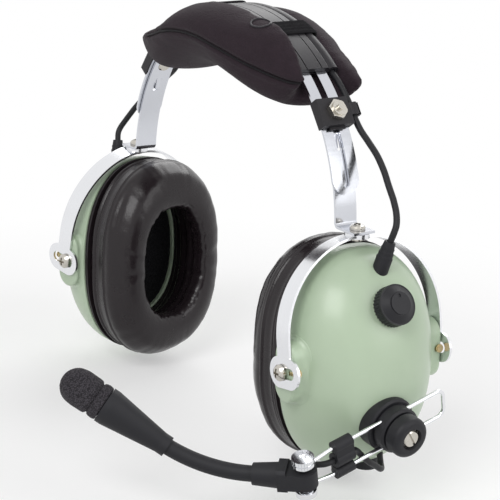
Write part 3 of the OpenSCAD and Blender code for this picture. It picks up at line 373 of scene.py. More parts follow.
def add(tree, kind, **settings):
    """A node whose settings are attributes, or input values where the key starts with in_."""
    node = tree.nodes.new("ShaderNode" + kind)
    for key, value in settings.items():
        if key.startswith("in_"):
            node.inputs[key.removeprefix("in_")].default_value = value
        else:
            setattr(node, key, value)
    return node


def feed(tree, value, socket):
    """Links an input to another socket, or gives it a constant."""
    if isinstance(value, bpy.types.NodeSocket):
        tree.links.new(value, socket)
    else:
        socket.default_value = value


def math_node(tree, operation, *operands, clamp=False):
    """One arithmetic node; each operand is a socket or a number."""
    node = add(tree, "Math", operation=operation, use_clamp=clamp)
    for index, value in enumerate(operands):
        feed(tree, value, node.inputs[index])
    return node.outputs[0]


def times(tree, first, second, clamp=False):
    """The product of two operands."""
    return math_node(tree, "MULTIPLY", first, second, clamp=clamp)


def mapped(tree, scale=(1, 1, 1)):
    """Object coordinates stretched by a scale on each axis."""
    place = add(tree, "Mapping")
    place.inputs["Scale"].default_value = scale
    tree.links.new(add(tree, "TexCoord").outputs["Object"], place.inputs["Vector"])
    return place.outputs["Vector"]


def noise(tree, vector, scale, detail=3.0, roughness=0.5):
    node = add(tree, "TexNoise", in_Detail=detail, in_Roughness=roughness)
    feed(tree, scale, node.inputs["Scale"])
    tree.links.new(vector, node.inputs["Vector"])
    return node.outputs["Fac"]


def voronoi(tree, vector, scale, feature="F1"):
    node = add(tree, "TexVoronoi", feature=feature)
    feed(tree, scale, node.inputs["Scale"])
    tree.links.new(vector, node.inputs["Vector"])
    return node.outputs["Distance"]


def build_grain(tree, given, out):
    """Height = fine noise + 0.35 of one 0.22 as fine; Tone = slow noise, for colour and gloss."""
    at = mapped(tree)
    fine = noise(tree, at, given["Scale"], detail=2)
    coarse = noise(tree, at, times(tree, given["Scale"], 0.22), detail=3)
    tree.links.new(math_node(tree, "MULTIPLY_ADD", coarse, 0.35, fine), out["Height"])
    tree.links.new(noise(tree, at, 38, detail=4, roughness=0.6), out["Tone"])


def build_wear(tree, given, out):
    """Mask = Amount x Reach x (pointiness - 0.5) x noise: convex edges of the mesh, broken up."""
    edge = add(tree, "NewGeometry").outputs["Pointiness"]
    raised = times(tree, math_node(tree, "SUBTRACT", edge, 0.5), given["Reach"])
    broken = times(tree, raised, noise(tree, mapped(tree), 420, detail=4, roughness=0.7), clamp=True)
    tree.links.new(times(tree, broken, given["Amount"], clamp=True), out["Mask"])


def build_dust(tree, given, out):
    """Mask = Amount x the normal's upward part squared x patchy noise."""
    split = add(tree, "SeparateXYZ")
    tree.links.new(add(tree, "NewGeometry").outputs["Normal"], split.inputs[0])
    up = math_node(tree, "POWER", math_node(tree, "MAXIMUM", split.outputs["Z"], 0), 2)
    patch = noise(tree, mapped(tree), 160, detail=5, roughness=0.7)
    tree.links.new(times(tree, times(tree, up, patch), given["Amount"]), out["Mask"])


def build_knit(tree, given, out):
    """Height = brushed nap + 0.55 of round loops; Nap = long soft streaks, for colour."""
    loops = math_node(tree, "SUBTRACT", 1, voronoi(tree, mapped(tree), given["Scale"]))
    nap = noise(tree, mapped(tree, (0.35, 1, 1)), times(tree, given["Scale"], 0.6), detail=4, roughness=0.65)
    tree.links.new(math_node(tree, "MULTIPLY_ADD", loops, 0.55, nap), out["Height"])
    tree.links.new(noise(tree, mapped(tree, (0.5, 1, 1)), 190, detail=5, roughness=0.7), out["Nap"])


def build_cells(tree, given, out):
    """Height = 1 - d and a mask 2.2 d - 0.5, with d the distance to a cell's middle; the mask is painted shade,
    dark in the hollows between cells.
    """
    cell = voronoi(tree, mapped(tree), given["Scale"])
    tree.links.new(math_node(tree, "SUBTRACT", 1, cell), out["Height"])
    tree.links.new(math_node(tree, "SUBTRACT", times(tree, cell, 2.2), 0.5, clamp=True), out["Pore shade"])


def build_creases(tree, given, out):
    """Height = leather-like cells + Crease x soft creases 0.11 as fine."""
    at = mapped(tree)
    cell = voronoi(tree, at, given["Scale"], "SMOOTH_F1")
    crease = noise(tree, at, times(tree, given["Scale"], 0.11), detail=5, roughness=0.62)
    tree.links.new(math_node(tree, "MULTIPLY_ADD", crease, given["Crease"], cell), out["Height"])


def build_scratches(tree, given, out):
    """Mask = fine hairlines along Y x slow patches of handling marks. The group has no inputs."""
    hair = noise(tree, mapped(tree, (1, 0.04, 1)), 1500, detail=2)
    patch = noise(tree, mapped(tree), 60, detail=4, roughness=0.6)
    tree.links.new(times(tree, hair, patch), out["Mask"])


FLOAT = "NodeSocketFloat"
# Places of the colour sockets on a Mix node, whose number and vector sockets have the same names
MIX_FACTOR, MIX_A, MIX_B, MIX_RESULT = 0, 6, 7, 2
DUST_COLOUR, VINYL_DUST, LINT = (0.42, 0.41, 0.39), (0.3, 0.28, 0.28), (0.35, 0.33, 0.33)


def placed(tree, group, **values):
    """The outputs of a group placed in a tree with its own input values."""
    node = tree.nodes.new("ShaderNodeGroup")
    node.node_tree = group
    for key, value in values.items():
        node.inputs[key].default_value = value
    return node.outputs


def grain(tree, scale):
    group = effect("Moulded grain", [("Scale", 900)], [("Height", FLOAT), ("Tone", FLOAT)], build_grain)
    return placed(tree, group, Scale=scale)


def wear(tree, reach, amount):
    group = effect("Edge wear", [("Reach", 8), ("Amount", 0.5)], [("Mask", FLOAT)], build_wear)
    return placed(tree, group, Reach=reach, Amount=amount)["Mask"]


def dust(tree, amount):
    group = effect("Settled dust", [("Amount", 0.1)], [("Mask", FLOAT)], build_dust)
    return placed(tree, group, Amount=amount)["Mask"]


def between(tree, factor, low, high):
    """A number that runs from low to high with a factor."""
    return math_node(tree, "MULTIPLY_ADD", factor, high - low, low)


def tinted(tree, factor, first, second):
    """A colour mixed from the first to the second, each a socket or three numbers, by a factor."""
    node = add(tree, "Mix", data_type="RGBA")
    tree.links.new(factor, node.inputs[MIX_FACTOR])
    for index, value in ((MIX_A, first), (MIX_B, second)):
        feed(tree, value if isinstance(value, bpy.types.NodeSocket) else (*value, 1), node.inputs[index])
    return node.outputs[MIX_RESULT]


def scaled(rgb, factor):
    """A colour made lighter or darker, held at 1."""
    return tuple(min(1.0, c * factor) for c in rgb)


def finish_of(name, build, **sockets):
    """A material with one Principled BSDF: its constants on its own sockets, its patterns from build."""
    material = bpy.data.materials.get(name)
    if material:
        return material
    material = bpy.data.materials.new(name)
    material.use_nodes = True
    tree = material.node_tree
    shader = tree.nodes["Principled BSDF"]
    for key, value in sockets.items():
        shader.inputs[key.replace("_", " ")].default_value = value
    build(tree, shader)
    return material


def bumped(tree, shader, height, distance, strength=1.0):
    """Height in millimetres, as the shader's normal."""
    node = add(tree, "Bump", in_Strength=strength, in_Distance=distance * MM)
    tree.links.new(height, node.inputs["Height"])
    tree.links.new(node.outputs["Normal"], shader.inputs["Normal"])


def moulded(name, rgb, low, high, scale=900, depth=0.03, dusty=0.02, worn=0.25, **sockets):
    """Moulded plastic or rubber: grain of a depth in millimetres in the normal, slow tone in colour and in
    roughness from low to high, pale worn edges, a little dust."""
    sockets.setdefault("Specular_IOR_Level", 0.3)

    def build(tree, shader):
        texture = grain(tree, scale)
        base = tinted(tree, texture["Tone"], scaled(rgb, 0.93), scaled(rgb, 1.07))
        base = tinted(tree, wear(tree, reach=9, amount=worn), base, scaled(rgb, 1.6))
        base = tinted(tree, dust(tree, dusty), base, DUST_COLOUR)
        tree.links.new(base, shader.inputs["Base Color"])
        tree.links.new(between(tree, texture["Tone"], low, high), shader.inputs["Roughness"])
        bumped(tree, shader, texture["Height"], depth)

    return finish_of(name, build, **sockets)


def plated(name, rgb, low, high, depth=0.004):
    """Bright metal: hairlines in the normal and in roughness from low to high, slow tone in colour."""

    def build(tree, shader):
        group = effect("Hairlines", [], [("Mask", FLOAT)], build_scratches)
        mask = placed(tree, group)["Mask"]
        tree.links.new(between(tree, mask, low, high), shader.inputs["Roughness"])
        tone = grain(tree, 700)["Tone"]
        tree.links.new(tinted(tree, tone, scaled(rgb, 0.94), scaled(rgb, 1.04)), shader.inputs["Base Color"])
        bumped(tree, shader, mask, depth)

    return finish_of(name, build, Metallic=1.0)


def dome_finish():
    return moulded(
        "Sage moulded shell", colours().dome, low=0.30, high=0.42, scale=1300, depth=0.012, dusty=0.04,
        worn=0.15, Specular_IOR_Level=0.5, Coat_Weight=0.25, Coat_Roughness=0.2,
    )


def vinyl_finish():
    """Soft vinyl with a light gloss, in leather-like cells and creases."""
    rgb = colours().vinyl

    def build(tree, shader):
        group = effect("Vinyl creases", [("Scale", 900), ("Crease", 1.5)], [("Height", FLOAT)], build_creases)
        height = placed(tree, group, Scale=1300, Crease=1.8)["Height"]
        tone = grain(tree, 700)["Tone"]
        base = tinted(tree, tone, scaled(rgb, 0.8), scaled(rgb, 1.25))
        base = tinted(tree, dust(tree, 0.02), base, VINYL_DUST)
        tree.links.new(base, shader.inputs["Base Color"])
        tree.links.new(between(tree, tone, 0.2, 0.36), shader.inputs["Roughness"])
        bumped(tree, shader, height, 0.06)

    return finish_of("Seal vinyl", build, Specular_IOR_Level=0.3, Coat_Weight=0.1, Coat_Roughness=0.1)


def knit_finish():
    """Brushed knit, its nap lighter and darker in long streaks."""
    rgb = colours().knit

    def build(tree, shader):
        group = effect("Brushed knit", [("Scale", 1300)], [("Height", FLOAT), ("Nap", FLOAT)], build_knit)
        cloth = placed(tree, group, Scale=1250)
        base = tinted(tree, cloth["Nap"], scaled(rgb, 0.6), scaled(rgb, 1.5))
        base = tinted(tree, dust(tree, 0.025), base, LINT)
        tree.links.new(base, shader.inputs["Base Color"])
        tree.links.new(between(tree, cloth["Nap"], 0.78, 0.95), shader.inputs["Roughness"])
        bumped(tree, shader, cloth["Height"], 0.28)

    return finish_of("Brushed pad knit", build, Specular_IOR_Level=0.15, Sheen_Weight=0.06, Sheen_Roughness=0.5)


def foam_finish(name, rgb, scale=1500, depth=0.3):
    """Open foam, with painted shade that darkens its pores."""

    def build(tree, shader):
        group = effect("Foam cells", [("Scale", 1100)], [("Height", FLOAT), ("Pore shade", FLOAT)], build_cells)
        foam = placed(tree, group, Scale=scale)
        # Painted shade: the colour falls to 0.4 of the foam's own in the pores, as if they lay in shadow
        base = tinted(tree, foam["Pore shade"], scaled(rgb, 1.15), scaled(rgb, 0.4))
        tree.links.new(base, shader.inputs["Base Color"])
        tree.links.new(between(tree, foam["Pore shade"], 0.85, 1.0), shader.inputs["Roughness"])
        bumped(tree, shader, foam["Height"], depth)

    return finish_of(name, build, Specular_IOR_Level=0.2, Sheen_Weight=0.05)


def elastic_finish():
    """Woven elastic, with threads that run from front to rear."""
    rgb = colours().elastic

    def build(tree, shader):
        threads = noise(tree, mapped(tree, (1, 0.25, 1)), 1800, detail=2)
        tree.links.new(tinted(tree, threads, scaled(rgb, 0.6), scaled(rgb, 1.8)), shader.inputs["Base Color"])
        tree.links.new(between(tree, threads, 0.7, 0.9), shader.inputs["Roughness"])
        bumped(tree, shader, threads, 0.2)

    return finish_of("Woven elastic", build, Specular_IOR_Level=0.2, Sheen_Weight=0.05)


def rubber_finish():
    return moulded("Matt rubber", colours().rubber, low=0.5, high=0.68, scale=1500, depth=0.02, worn=0.1)


def cord_finish():
    rgb = scaled(colours().rubber, 0.7)
    return moulded("Cord jacket", rgb, low=0.42, high=0.6, scale=1800, depth=0.02, dusty=0.015, worn=0.05)


# ---- Camera, floor and light -----------------------------------------------------------

# The camera: its direction from the object and roll, distance and aim in millimetres, focal length and frame in
# pixels, and the sensor's width in millimetres
AZIMUTH, ELEVATION, ROLL = np.radians([55.078, 18.319, 2.806])
CAMERA_DISTANCE, CAMERA_AIM = 923.9, (0, 9.928, 22.759)
FOCAL_PX, FRAME_PX, SENSOR = 1746.36, 500, 36

# Softboxes: name, place in millimetres, width and height in metres, watts; all aim at one point
SOFTBOXES = (
    ("Key softbox", (500, -900, 900), (0.7, 0.7), 8),
    ("Fill softbox", (900, 300, 500), (0.6, 0.9), 3.2),
    ("Back softbox", (-500, 600, 700), (0.8, 0.6), 4.5),
)
LIGHT_AIM = (0, 0, 20)

# The floor lies a gap below the model or this height, whichever is lower; radii of its rings, and its thickness
FLOOR_HIGHEST, FLOOR_GAP, FLOOR_RINGS, FLOOR_THICK = -62, 4, (20, 300, 900, 2200), 2

# Strength of the white surroundings where they light the object, and where they are seen
SURROUNDINGS_LIT, SURROUNDINGS_SEEN = 0.34, 1.0


def looking(eye, aim, roll=0.0):
    """Pose of a camera or lamp at a point, looking along its own -Z at the aim with Z upwards, then rolled."""
    ahead = unit(np.array(aim, float) - eye)
    right = unit(np.cross(ahead, (0, 0, 1)))
    up = np.cross(right, ahead)
    pose = np.eye(4)
    pose[:3, 0] = np.cos(roll) * right + np.sin(roll) * up
    pose[:3, 1] = np.cos(roll) * up - np.sin(roll) * right
    pose[:3, 2] = -ahead
    pose[:3, 3] = np.array(eye) * MM
    return Matrix(pose.tolist())


def seen_directly(tree):
    """1 for a ray from the camera or through a shine or glass, 0 for light that falls on the object."""
    path = add(tree, "LightPath")
    seen = math_node(tree, "MAXIMUM", path.outputs["Is Camera Ray"], path.outputs["Is Glossy Ray"])
    return math_node(tree, "MAXIMUM", seen, path.outputs["Is Transmission Ray"])


class HEADSET_OT_stage(bpy.types.Operator):
    """Makes the camera, the pale floor and the soft studio light"""

    bl_idname = "headset.stage"
    bl_label = "Camera and stage"

    def camera(self, scene):
        """Camera at a distance in its direction from the origin: (sin a cos e, -cos a cos e, sin e)."""
        level = np.cos(ELEVATION)
        back = np.array([np.sin(AZIMUTH) * level, -np.cos(AZIMUTH) * level, np.sin(ELEVATION)])
        data = bpy.data.cameras.new("Studio camera")
        data.sensor_width, data.lens = SENSOR, SENSOR * FOCAL_PX / FRAME_PX
        data.clip_start, data.clip_end = 0.05, 20
        camera = bpy.data.objects.new("Studio camera", data)
        camera.matrix_world = looking(back * CAMERA_DISTANCE, CAMERA_AIM, ROLL)
        scene.collection.objects.link(camera)
        scene.camera = camera

    def floor(self):
        """Pale floor round the model. For rays that see it directly it fades into the white surroundings: the
        share of white is 0.4 + 2.2 (1.6 r - 0.35), with r the distance from the origin in metres."""
        height = min(cad_box[0][2] / MM, FLOOR_HIGHEST) - FLOOR_GAP
        a = circle(64)
        rim = np.stack([np.cos(a), np.sin(a), 0 * a], -1)
        rings = np.array(FLOOR_RINGS)[:, None, None] * rim + np.array([0, 0, height])
        floor = loft("studio_floor", np.concatenate([rings, rings[::-1] - np.array([0, 0, FLOOR_THICK])]))

        def build(tree, shader):
            distance = add(tree, "VectorMath", operation="LENGTH")
            tree.links.new(add(tree, "TexCoord").outputs["Object"], distance.inputs[0])
            seen = seen_directly(tree)
            beyond = math_node(tree, "SUBTRACT", times(tree, distance.outputs["Value"], 1.6), 0.35, clamp=True)
            fade = times(tree, beyond, seen, clamp=True)
            share = math_node(tree, "MULTIPLY_ADD", fade, 2.2, times(tree, seen, 0.4), clamp=True)
            white = add(tree, "Emission", in_Color=(1, 1, 1, 1), in_Strength=1.0)
            mix = add(tree, "MixShader")
            for source, socket in zip((share, shader.outputs[0], white.outputs[0]), mix.inputs):
                tree.links.new(source, socket)
            tree.links.new(mix.outputs[0], tree.nodes["Material Output"].inputs["Surface"])

        paint = finish_of("Studio floor", build, Base_Color=(0.97, 0.97, 0.97, 1), Roughness=0.9)
        floor.data.materials.append(paint)

    def lamp(self, scene, name, place, size, power):
        data = bpy.data.lights.new(name, "AREA")
        data.shape, data.size, data.size_y, data.energy = "RECTANGLE", size[0], size[1], power
        lamp = bpy.data.objects.new(name, data)
        lamp.matrix_world = looking(place, LIGHT_AIM)
        scene.collection.objects.link(lamp)

    def world(self, scene):
        """White surroundings, dimmer as a light than as they are seen."""
        world = bpy.data.worlds.new("Studio surroundings")
        scene.world = world
        world.use_nodes = True
        tree = world.node_tree
        background = tree.nodes["Background"]
        strength = between(tree, seen_directly(tree), SURROUNDINGS_LIT, SURROUNDINGS_SEEN)
        tree.links.new(strength, background.inputs["Strength"])
        background.inputs["Color"].default_value = (1, 1, 1, 1)

    def execute(self, context):
        scene = context.scene
        scene.view_settings.view_transform = "Standard"
        self.camera(scene)
        self.floor()
        self.world(scene)
        for softbox in SOFTBOXES:
            self.lamp(scene, *softbox)
        return {"FINISHED"}


# ---- Cords -----------------------------------------------------------------------------

# Points on each cord's centre line, from the band cover down to the boots on the cups
LEFT_ROUTE = (
    (57.6, 12, 128.9), (63.4, 12, 125.4), (68.8, 12, 120.9), (73.8, 12, 115.8), (77.4, 12, 111.1),
    (82.4, 12.5, 105.5), (89, 12.9, 100.6), (96, 12.9, 95.6), (102.5, 12.2, 89.9), (108, 11.1, 84.2),
    (113.4, 10.1, 78.8), (117.8, 8.7, 73.8), (120.6, 7, 68.9), (121, 5.4, 64.8), (120.3, 4.3, 60.8),
    (119.8, 3.7, 57.9),
)
RIGHT_ROUTE = (
    (-57.6, 12, 128.9), (-63.4, 12, 125.4), (-69.9, 12, 119.6), (-75.9, 12, 113.2), (-79.3, 12, 108.3),
    (-84.6, 12.6, 103.4), (-92, 13.1, 98.4), (-100, 13.3, 93), (-107.4, 12.7, 87.4), (-114, 11.1, 81.2),
    (-119.4, 8.9, 74.6), (-123.2, 6.2, 68), (-125.2, 3.6, 62.9), (-124.9, 1.9, 59.7), (-123.8, 1.1, 55.8),
    (-123, 0.6, 53),
)
# The microphone lead, from the left cup to its clip on the wire loop, and from the clip to the arm's fitting
REAR_ROUTE = (
    (125.5, 2.9, -41.2), (125.8, 2.9, -45), (127.6, 2.2, -48), (131, 0, -48.8), (134.4, -4, -46.8),
    (136.6, -9, -43.2), (138.3, -14, -39.9), (139.1, -18.8, -35.8), (139.7, -22.6, -32.2),
    (141.2, -25.9, -30.1), (142.6, -28.9, -29.6), (142.6, -33.7, -30.9),
)
FRONT_ROUTE = (
    (142.6, -34.4, -31.1), (142.6, -38.5, -32.3), (141.8, -43, -33.3), (139, -47, -33.9), (136, -49.6, -34.2),
    (134.3, -52.1, -34.9), (135.6, -53.5, -35.4), (136.8, -54.7, -35.9),
)
# Where the lines pass from one pair of bodies to the next; the cord's channel in the band cover
SLIDE_POINT, STIRRUP_POINT, HUB_POINT = 4, 10, 6
CHANNEL_Y, CHANNEL_R, COVER_END = 12.0, 92.4, 38.6


class HEADSET_OT_cords(bpy.types.Operator):
    """Makes the cord between the cups and the microphone lead"""

    bl_idname = "headset.cords"
    bl_label = "Cords"

    def stretch(self, name, points, bodies, diameter, node):
        """One stretch of a cord, laid along its points between two bodies; it stays fixed and follows neither.
        """
        line = catmull(points, 8)
        piece = cord_mesh(name, line, diameter)
        finish_piece(piece, (*bodies, line[0], line[-1]), cord_finish(), (node,))

    def execute(self, context):
        sizes = sizes_in_mm()
        cord, lead = sizes.cord_diameter, sizes.lead_diameter
        for side, route in (("left", LEFT_ROUTE), ("right", RIGHT_ROUTE)):
            slide, stirrup, cup = (f"{side}_{part}" for part in ("slide", "stirrup", "cup"))
            for name, points, bodies in (
                ("upper", route[:SLIDE_POINT + 1], ("headband", slide)),
                ("middle", route[SLIDE_POINT:STIRRUP_POINT + 1], (slide, stirrup)),
                ("lower", route[STIRRUP_POINT:], (stirrup, cup)),
            ):
                self.stretch(f"{side}_cord_{name}", points, bodies, cord, f"{side}_cord_run")
        for name, points, bodies, node in (
            ("lead_from_cup", REAR_ROUTE[:HUB_POINT + 1], ("left_cup", "boom_hub"), "mic_lead_rear"),
            ("lead_to_clip", REAR_ROUTE[HUB_POINT:], ("boom_hub", "boom_rod"), "mic_lead_rear"),
            ("lead_to_arm", FRONT_ROUTE, ("boom_rod", "boom_arm"), "mic_lead_front"),
        ):
            self.stretch(name, points, bodies, lead, node)
        arc = on_band(np.linspace(-COVER_END, COVER_END, 80), CHANNEL_Y, CHANNEL_R)
        top = cord_mesh("cord_in_cover", arc, cord)
        finish_piece(top, "headband", cord_finish(), ("cord_top",))
        return {"FINISHED"}


# ---- Cups ------------------------------------------------------------------------------

# Exponents of the cup's outline and of its section from rim to crown; half width and height of its mouth, and
# the pocket's depth
OUTLINE_N, PROFILE_N = 2.3, 2.1
MOUTH_W, MOUTH_H, POCKET_D = 26.3, 36.2, 17.0

# The pivot bosses: sizes, distance of their faces from the cup's middle, the wall's length before it blends
# into the dome, the fillet's radius, and the rounded edge as (distance inside the wall, drop from the face)
BOSS_H, BOSS_W, BOSS_FACE, BOSS_WALL, BOSS_FILLET = 30.0, 16.0, 43.35, 1.0, 2.2
BOSS_EDGE = ((4, 0), (1.2, 0), (0.7, 0.1), (0.25, 0.4), (0, BOSS_WALL))

# The rim's round edge (distance out from the rim, distance outside the dome's half sizes), the lip round the
# mouth and the pocket's wall (out from the rim, outside the mouth), and its floor (out from the floor, share of
# the mouth)
RIM_EDGE = ((0.4, 0), (0.1, -0.1), (0, -0.4), (0, -3))
MOUTH_LIP = (
    (0, 1.6), (-0.05, 1.45), (-0.3, 1.4), (-0.72, 1.3), (-0.9, 1.05),
    (-0.9, 0.35), (-0.72, 0.1), (-0.4, 0), (2, 0), (8, 0),
)
POCKET_FLOOR = ((-0.6, 1), (-0.1, 0.98), (0, 0.95), (0, 0.5), (0, 0.05))


def dome_depth_at(rho, sizes):
    """Outward depth where the outline is scaled by rho: -rim + d (1 - rho^n)^(1/n)."""
    return -sizes.rim_inside + sizes.dome_depth * (1 - rho**PROFILE_N) ** (1 / PROFILE_N)


def dome_front(x, v, sizes):
    """Half width of the dome at depth x and height v: w (rho^n - |v / h|^n)^(1/n), with rho the outline's scale
    at that depth."""
    share = np.clip((x + sizes.rim_inside) / sizes.dome_depth, 0, 1)
    rho = (1 - share**PROFILE_N) ** (1 / PROFILE_N)
    v = np.abs(v) / sizes.dome_half_height
    return sizes.dome_half_width * np.maximum(rho**OUTLINE_N - v**OUTLINE_N, 0) ** (1 / OUTLINE_N)


def cup_rings(x, half_u, half_v, angles):
    """Rings round a cup's own X axis: (x, u r cos a, v r sin a), with u and v the half sizes and r the
    outline's superellipse."""
    r = super_radius(angles, OUTLINE_N)
    return np.stack([x + 0 * angles, half_u * r * np.cos(angles), half_v * r * np.sin(angles)], -1)


class HEADSET_OT_shells(bpy.types.Operator):
    """Makes the two moulded cups with their pivot bosses and lipped pockets"""

    bl_idname = "headset.shells"
    bl_label = "Cup shells"

    def shell(self, sizes):
        """Section carried round the outline: crown to rim as rho rises, then the rim's round edge, the raised
        lip with the pocket's wall, and its floor. The crown's rows lie at rho = cos(t)^(2 / n), with t in even
        steps."""
        w, h = sizes.dome_half_width, sizes.dome_half_height
        rim, floor = -sizes.rim_inside, -sizes.rim_inside + POCKET_D
        rho = np.cos(np.linspace(np.pi / 2, 0, 60)[:-1]) ** (2 / PROFILE_N)
        rows = [(x, w * r, h * r) for x, r in zip(dome_depth_at(rho, sizes), rho) if r > 0.01]
        rows += [(rim + x, w + d, h + d) for x, d in RIM_EDGE]
        rows += [(rim + x, MOUTH_W + d, MOUTH_H + d) for x, d in MOUTH_LIP]
        rows += [(floor + x, MOUTH_W * s, MOUTH_H * s) for x, s in POCKET_FLOOR]
        rows = np.array(rows)[:, :, None]
        return cup_rings(rows[:, 0], rows[:, 1], rows[:, 2], circle(160)[None])

    def boss(self, sizes, side):
        """Racetrack boss: face, rounded edge and wall, then a fillet of radius f laid on the dome:
        height above the dome = f - sqrt(f^2 - (f - d)^2) at a distance d outside the wall."""
        half_w, half_h, fillet = BOSS_W / 2, BOSS_H / 2 - BOSS_W / 2, BOSS_FILLET
        foot, wall_end = -sizes.rim_inside + 0.6, BOSS_FACE - BOSS_WALL
        a = circle(96)
        along = np.where(np.sin(a) >= 0, half_h, -half_h)
        rings = []
        for inset, drop in ((half_w - 0.4, 0), *BOSS_EDGE):
            radius = half_w - inset
            rings.append((radius * np.cos(a), radius * np.sin(a) + along, np.full_like(a, BOSS_FACE - drop)))
        wall_x, wall_v = half_w * np.cos(a), half_w * np.sin(a) + along
        base = dome_front(wall_x, wall_v, sizes)
        for share in (0.35, 0.7):
            rings.append((wall_x, wall_v, wall_end + (base + fillet - wall_end) * share))
        for d in fillet * (1 - np.cos(np.linspace(0, np.pi / 2, 9))):
            x, v = (half_w + d) * np.cos(a), (half_w + d) * np.sin(a) + along
            x = np.maximum(x, foot)
            rise = fillet - np.sqrt(np.maximum(fillet**2 - (fillet - d) ** 2, 0))
            rings.append((x, v, dome_front(x, v, sizes) + rise))
        x, v, y = rings[-1]
        rings.append((x, v, y - 1.5))
        return np.stack([np.stack([x, side * y, v], -1) for x, v, y in rings])

    def execute(self, context):
        sizes = sizes_in_mm()
        for side in SIDES:
            place = cup_place(side)
            shell = loft(f"{side}_cup_shell", apply(place, self.shell(sizes)))
            shell.data.set_sharp_from_angle(angle=np.radians(50))
            bosses = [loft(f"{side}_boss", apply(place, self.boss(sizes, end))) for end in (-1, 1)]
            joined = [shell, *bosses]
            with context.temp_override(active_object=shell, object=shell, selected_editable_objects=joined):
                bpy.ops.object.join()
            finish_piece(shell, f"{side}_cup", dome_finish(), (f"{side}_dome",))
        return {"FINISHED"}


# The seal's section: (share of its depth, share of the way from the opening to the outer outline), round once
SEAL_PROFILE = (
    (0, 0.30), (0, 0.62), (0.01, 0.88), (0.08, 0.985), (0.22, 0.955), (0.36, 0.99), (0.56, 1.02),
    (0.76, 0.9), (0.91, 0.74), (0.985, 0.5), (1, 0.26), (0.95, 0.06), (0.8, 0), (0.5, 0.1),
)
# The seal starts this far behind the cup's rim, on the hard ring; waves round it; how far each detail moves its
# surface in millimetres; the random seed of the left seal's waves
SEAL_FOOT = 3.8
RIPPLE_COUNTS = (5, 8, 13, 19, 27, 34, 46)
SEAM_SINK, NOTCH_SINK, FOLD_SINK, SAG_SINK, BEAD_RISE = 0.8, 1.3, 0.7, 0.9, 0.8
SEAL_SEED = 11


class HEADSET_OT_seals(bpy.types.Operator):
    """Makes the two soft ear seals with their seam channel, notches and wrinkles"""

    bl_idname = "headset.seals"
    bl_label = "Ear seals"

    def surface(self, sizes, seed):
        """Section carried round the outline at an angle a from the rear, moved outwards or in by sums of:
        ripple, cos(n a + phase + lean depth) / sqrt(n) of random size, on the opening's wall and less on the
        face; fold, a cosine along the depth of the opening's wall; seam, a channel beside the hard ring, and
        bead, a raised line nearer to the face, both on the outside; notch, two narrow pleats in the face, at
        the front and rear alike; sag, a hollow in the upper outside. The outline is pinched by up to 1.5% at
        its front and rear."""
        profile = catmull(SEAL_PROFILE, 9, looped=True)
        depth, reach = profile[None, :, 0], profile[None, :, 1]
        outside = reach > 0.8
        a = circle(360)[:, None]
        wave = np.random.default_rng(seed)
        inner = bell(reach, 0, 0.16) * smooth_step(depth * 2)
        face = smooth_step((depth - 0.3) * 3) * (1 - inner)
        ripple = np.zeros_like(a * depth)
        for count in RIPPLE_COUNTS:
            phase, lean = wave.uniform(0, 2 * np.pi), wave.uniform(-3, 3)
            size = wave.uniform(0.5, 1) / count**0.5
            ripple += size * np.cos(count * a + phase + lean * depth) * (0.7 * inner + 0.3 * face)
        seam = bell(depth, 0.14, 0.016) * outside
        bead = bell(depth, 0.42, 0.02) * outside
        wall = smooth_step((0.34 - reach) * 6) * smooth_step((0.85 - depth) * 5)
        fold = np.cos(2 * np.pi * depth / 0.24) * wall
        notch = bell(np.sin(a - 0.05), 0, 0.06) + 0.7 * bell(np.sin(a + 0.2), 0, 0.05)
        notch = notch * smooth_step((0.86 - reach) * 4)
        sag = bell(np.sin(a), 0.55, 0.22) * bell(depth, 0.62, 0.07) * (reach > 0.6)
        pinch = 1 - 0.015 * (np.maximum(0, np.abs(np.cos(a)) - 0.9) / 0.1) ** 2
        outer_u, outer_v = sizes.dome_half_width - 0.2, sizes.dome_half_height + 0.3
        half_u = sizes.opening_half_width + (outer_u * pinch - sizes.opening_half_width) * reach
        half_v = sizes.opening_half_height + (outer_v - sizes.opening_half_height) * reach
        shift = np.where(reach > 0.12, 1, -1) * ripple - SEAM_SINK * seam - NOTCH_SINK * notch * face
        shift = shift - SAG_SINK * sag + BEAD_RISE * bead - FOLD_SINK * fold
        x = -sizes.rim_inside - SEAL_FOOT - sizes.seal_thickness * depth
        return cup_rings(x, half_u + shift, half_v + shift, a)

    def execute(self, context):
        sizes = sizes_in_mm()
        for seed, side in enumerate(SIDES, SEAL_SEED):
            seal = loft(f"{side}_cup_seal", apply(cup_place(side), self.surface(sizes, seed)), looped=True)
            finish_piece(seal, f"{side}_cup", vinyl_finish(), (f"{side}_ear_seal",))
        return {"FINISHED"}


# The liner's section: (depth behind the rim, share of the mouth), from its back over the rounded edge to its
# dished middle; the gap that it leaves to the pocket's wall
LINER_PROFILE = (
    (8, 0.3), (8, 0.97), (7.2, 1), (4, 1), (1.4, 1), (0.7, 0.985), (0.5, 0.955),
    (0.8, 0.9), (1.7, 0.82), (2.7, 0.7), (3.4, 0.5), (3.7, 0.3), (3.8, 0.03),
)
LINER_GAP = 0.2


class HEADSET_OT_liners(bpy.types.Operator):
    """Makes the foam that fills each cup behind the opening"""

    bl_idname = "headset.liners"
    bl_label = "Foam liners"

    def execute(self, context):
        sizes = sizes_in_mm()
        depth, share = np.array(LINER_PROFILE).T[:, :, None]
        half_u, half_v = (MOUTH_W - LINER_GAP) * share, (MOUTH_H - LINER_GAP) * share
        rings = cup_rings(-sizes.rim_inside + depth, half_u, half_v, circle(96)[None])
        for side in SIDES:
            liner = loft(f"{side}_cup_foam", apply(cup_place(side), rings))
            foam = foam_finish("Liner foam", colours().liner)
            finish_piece(liner, f"{side}_cup", foam, (f"{side}_foam_liner",))
        return {"FINISHED"}


# ---- Head pad --------------------------------------------------------------------------

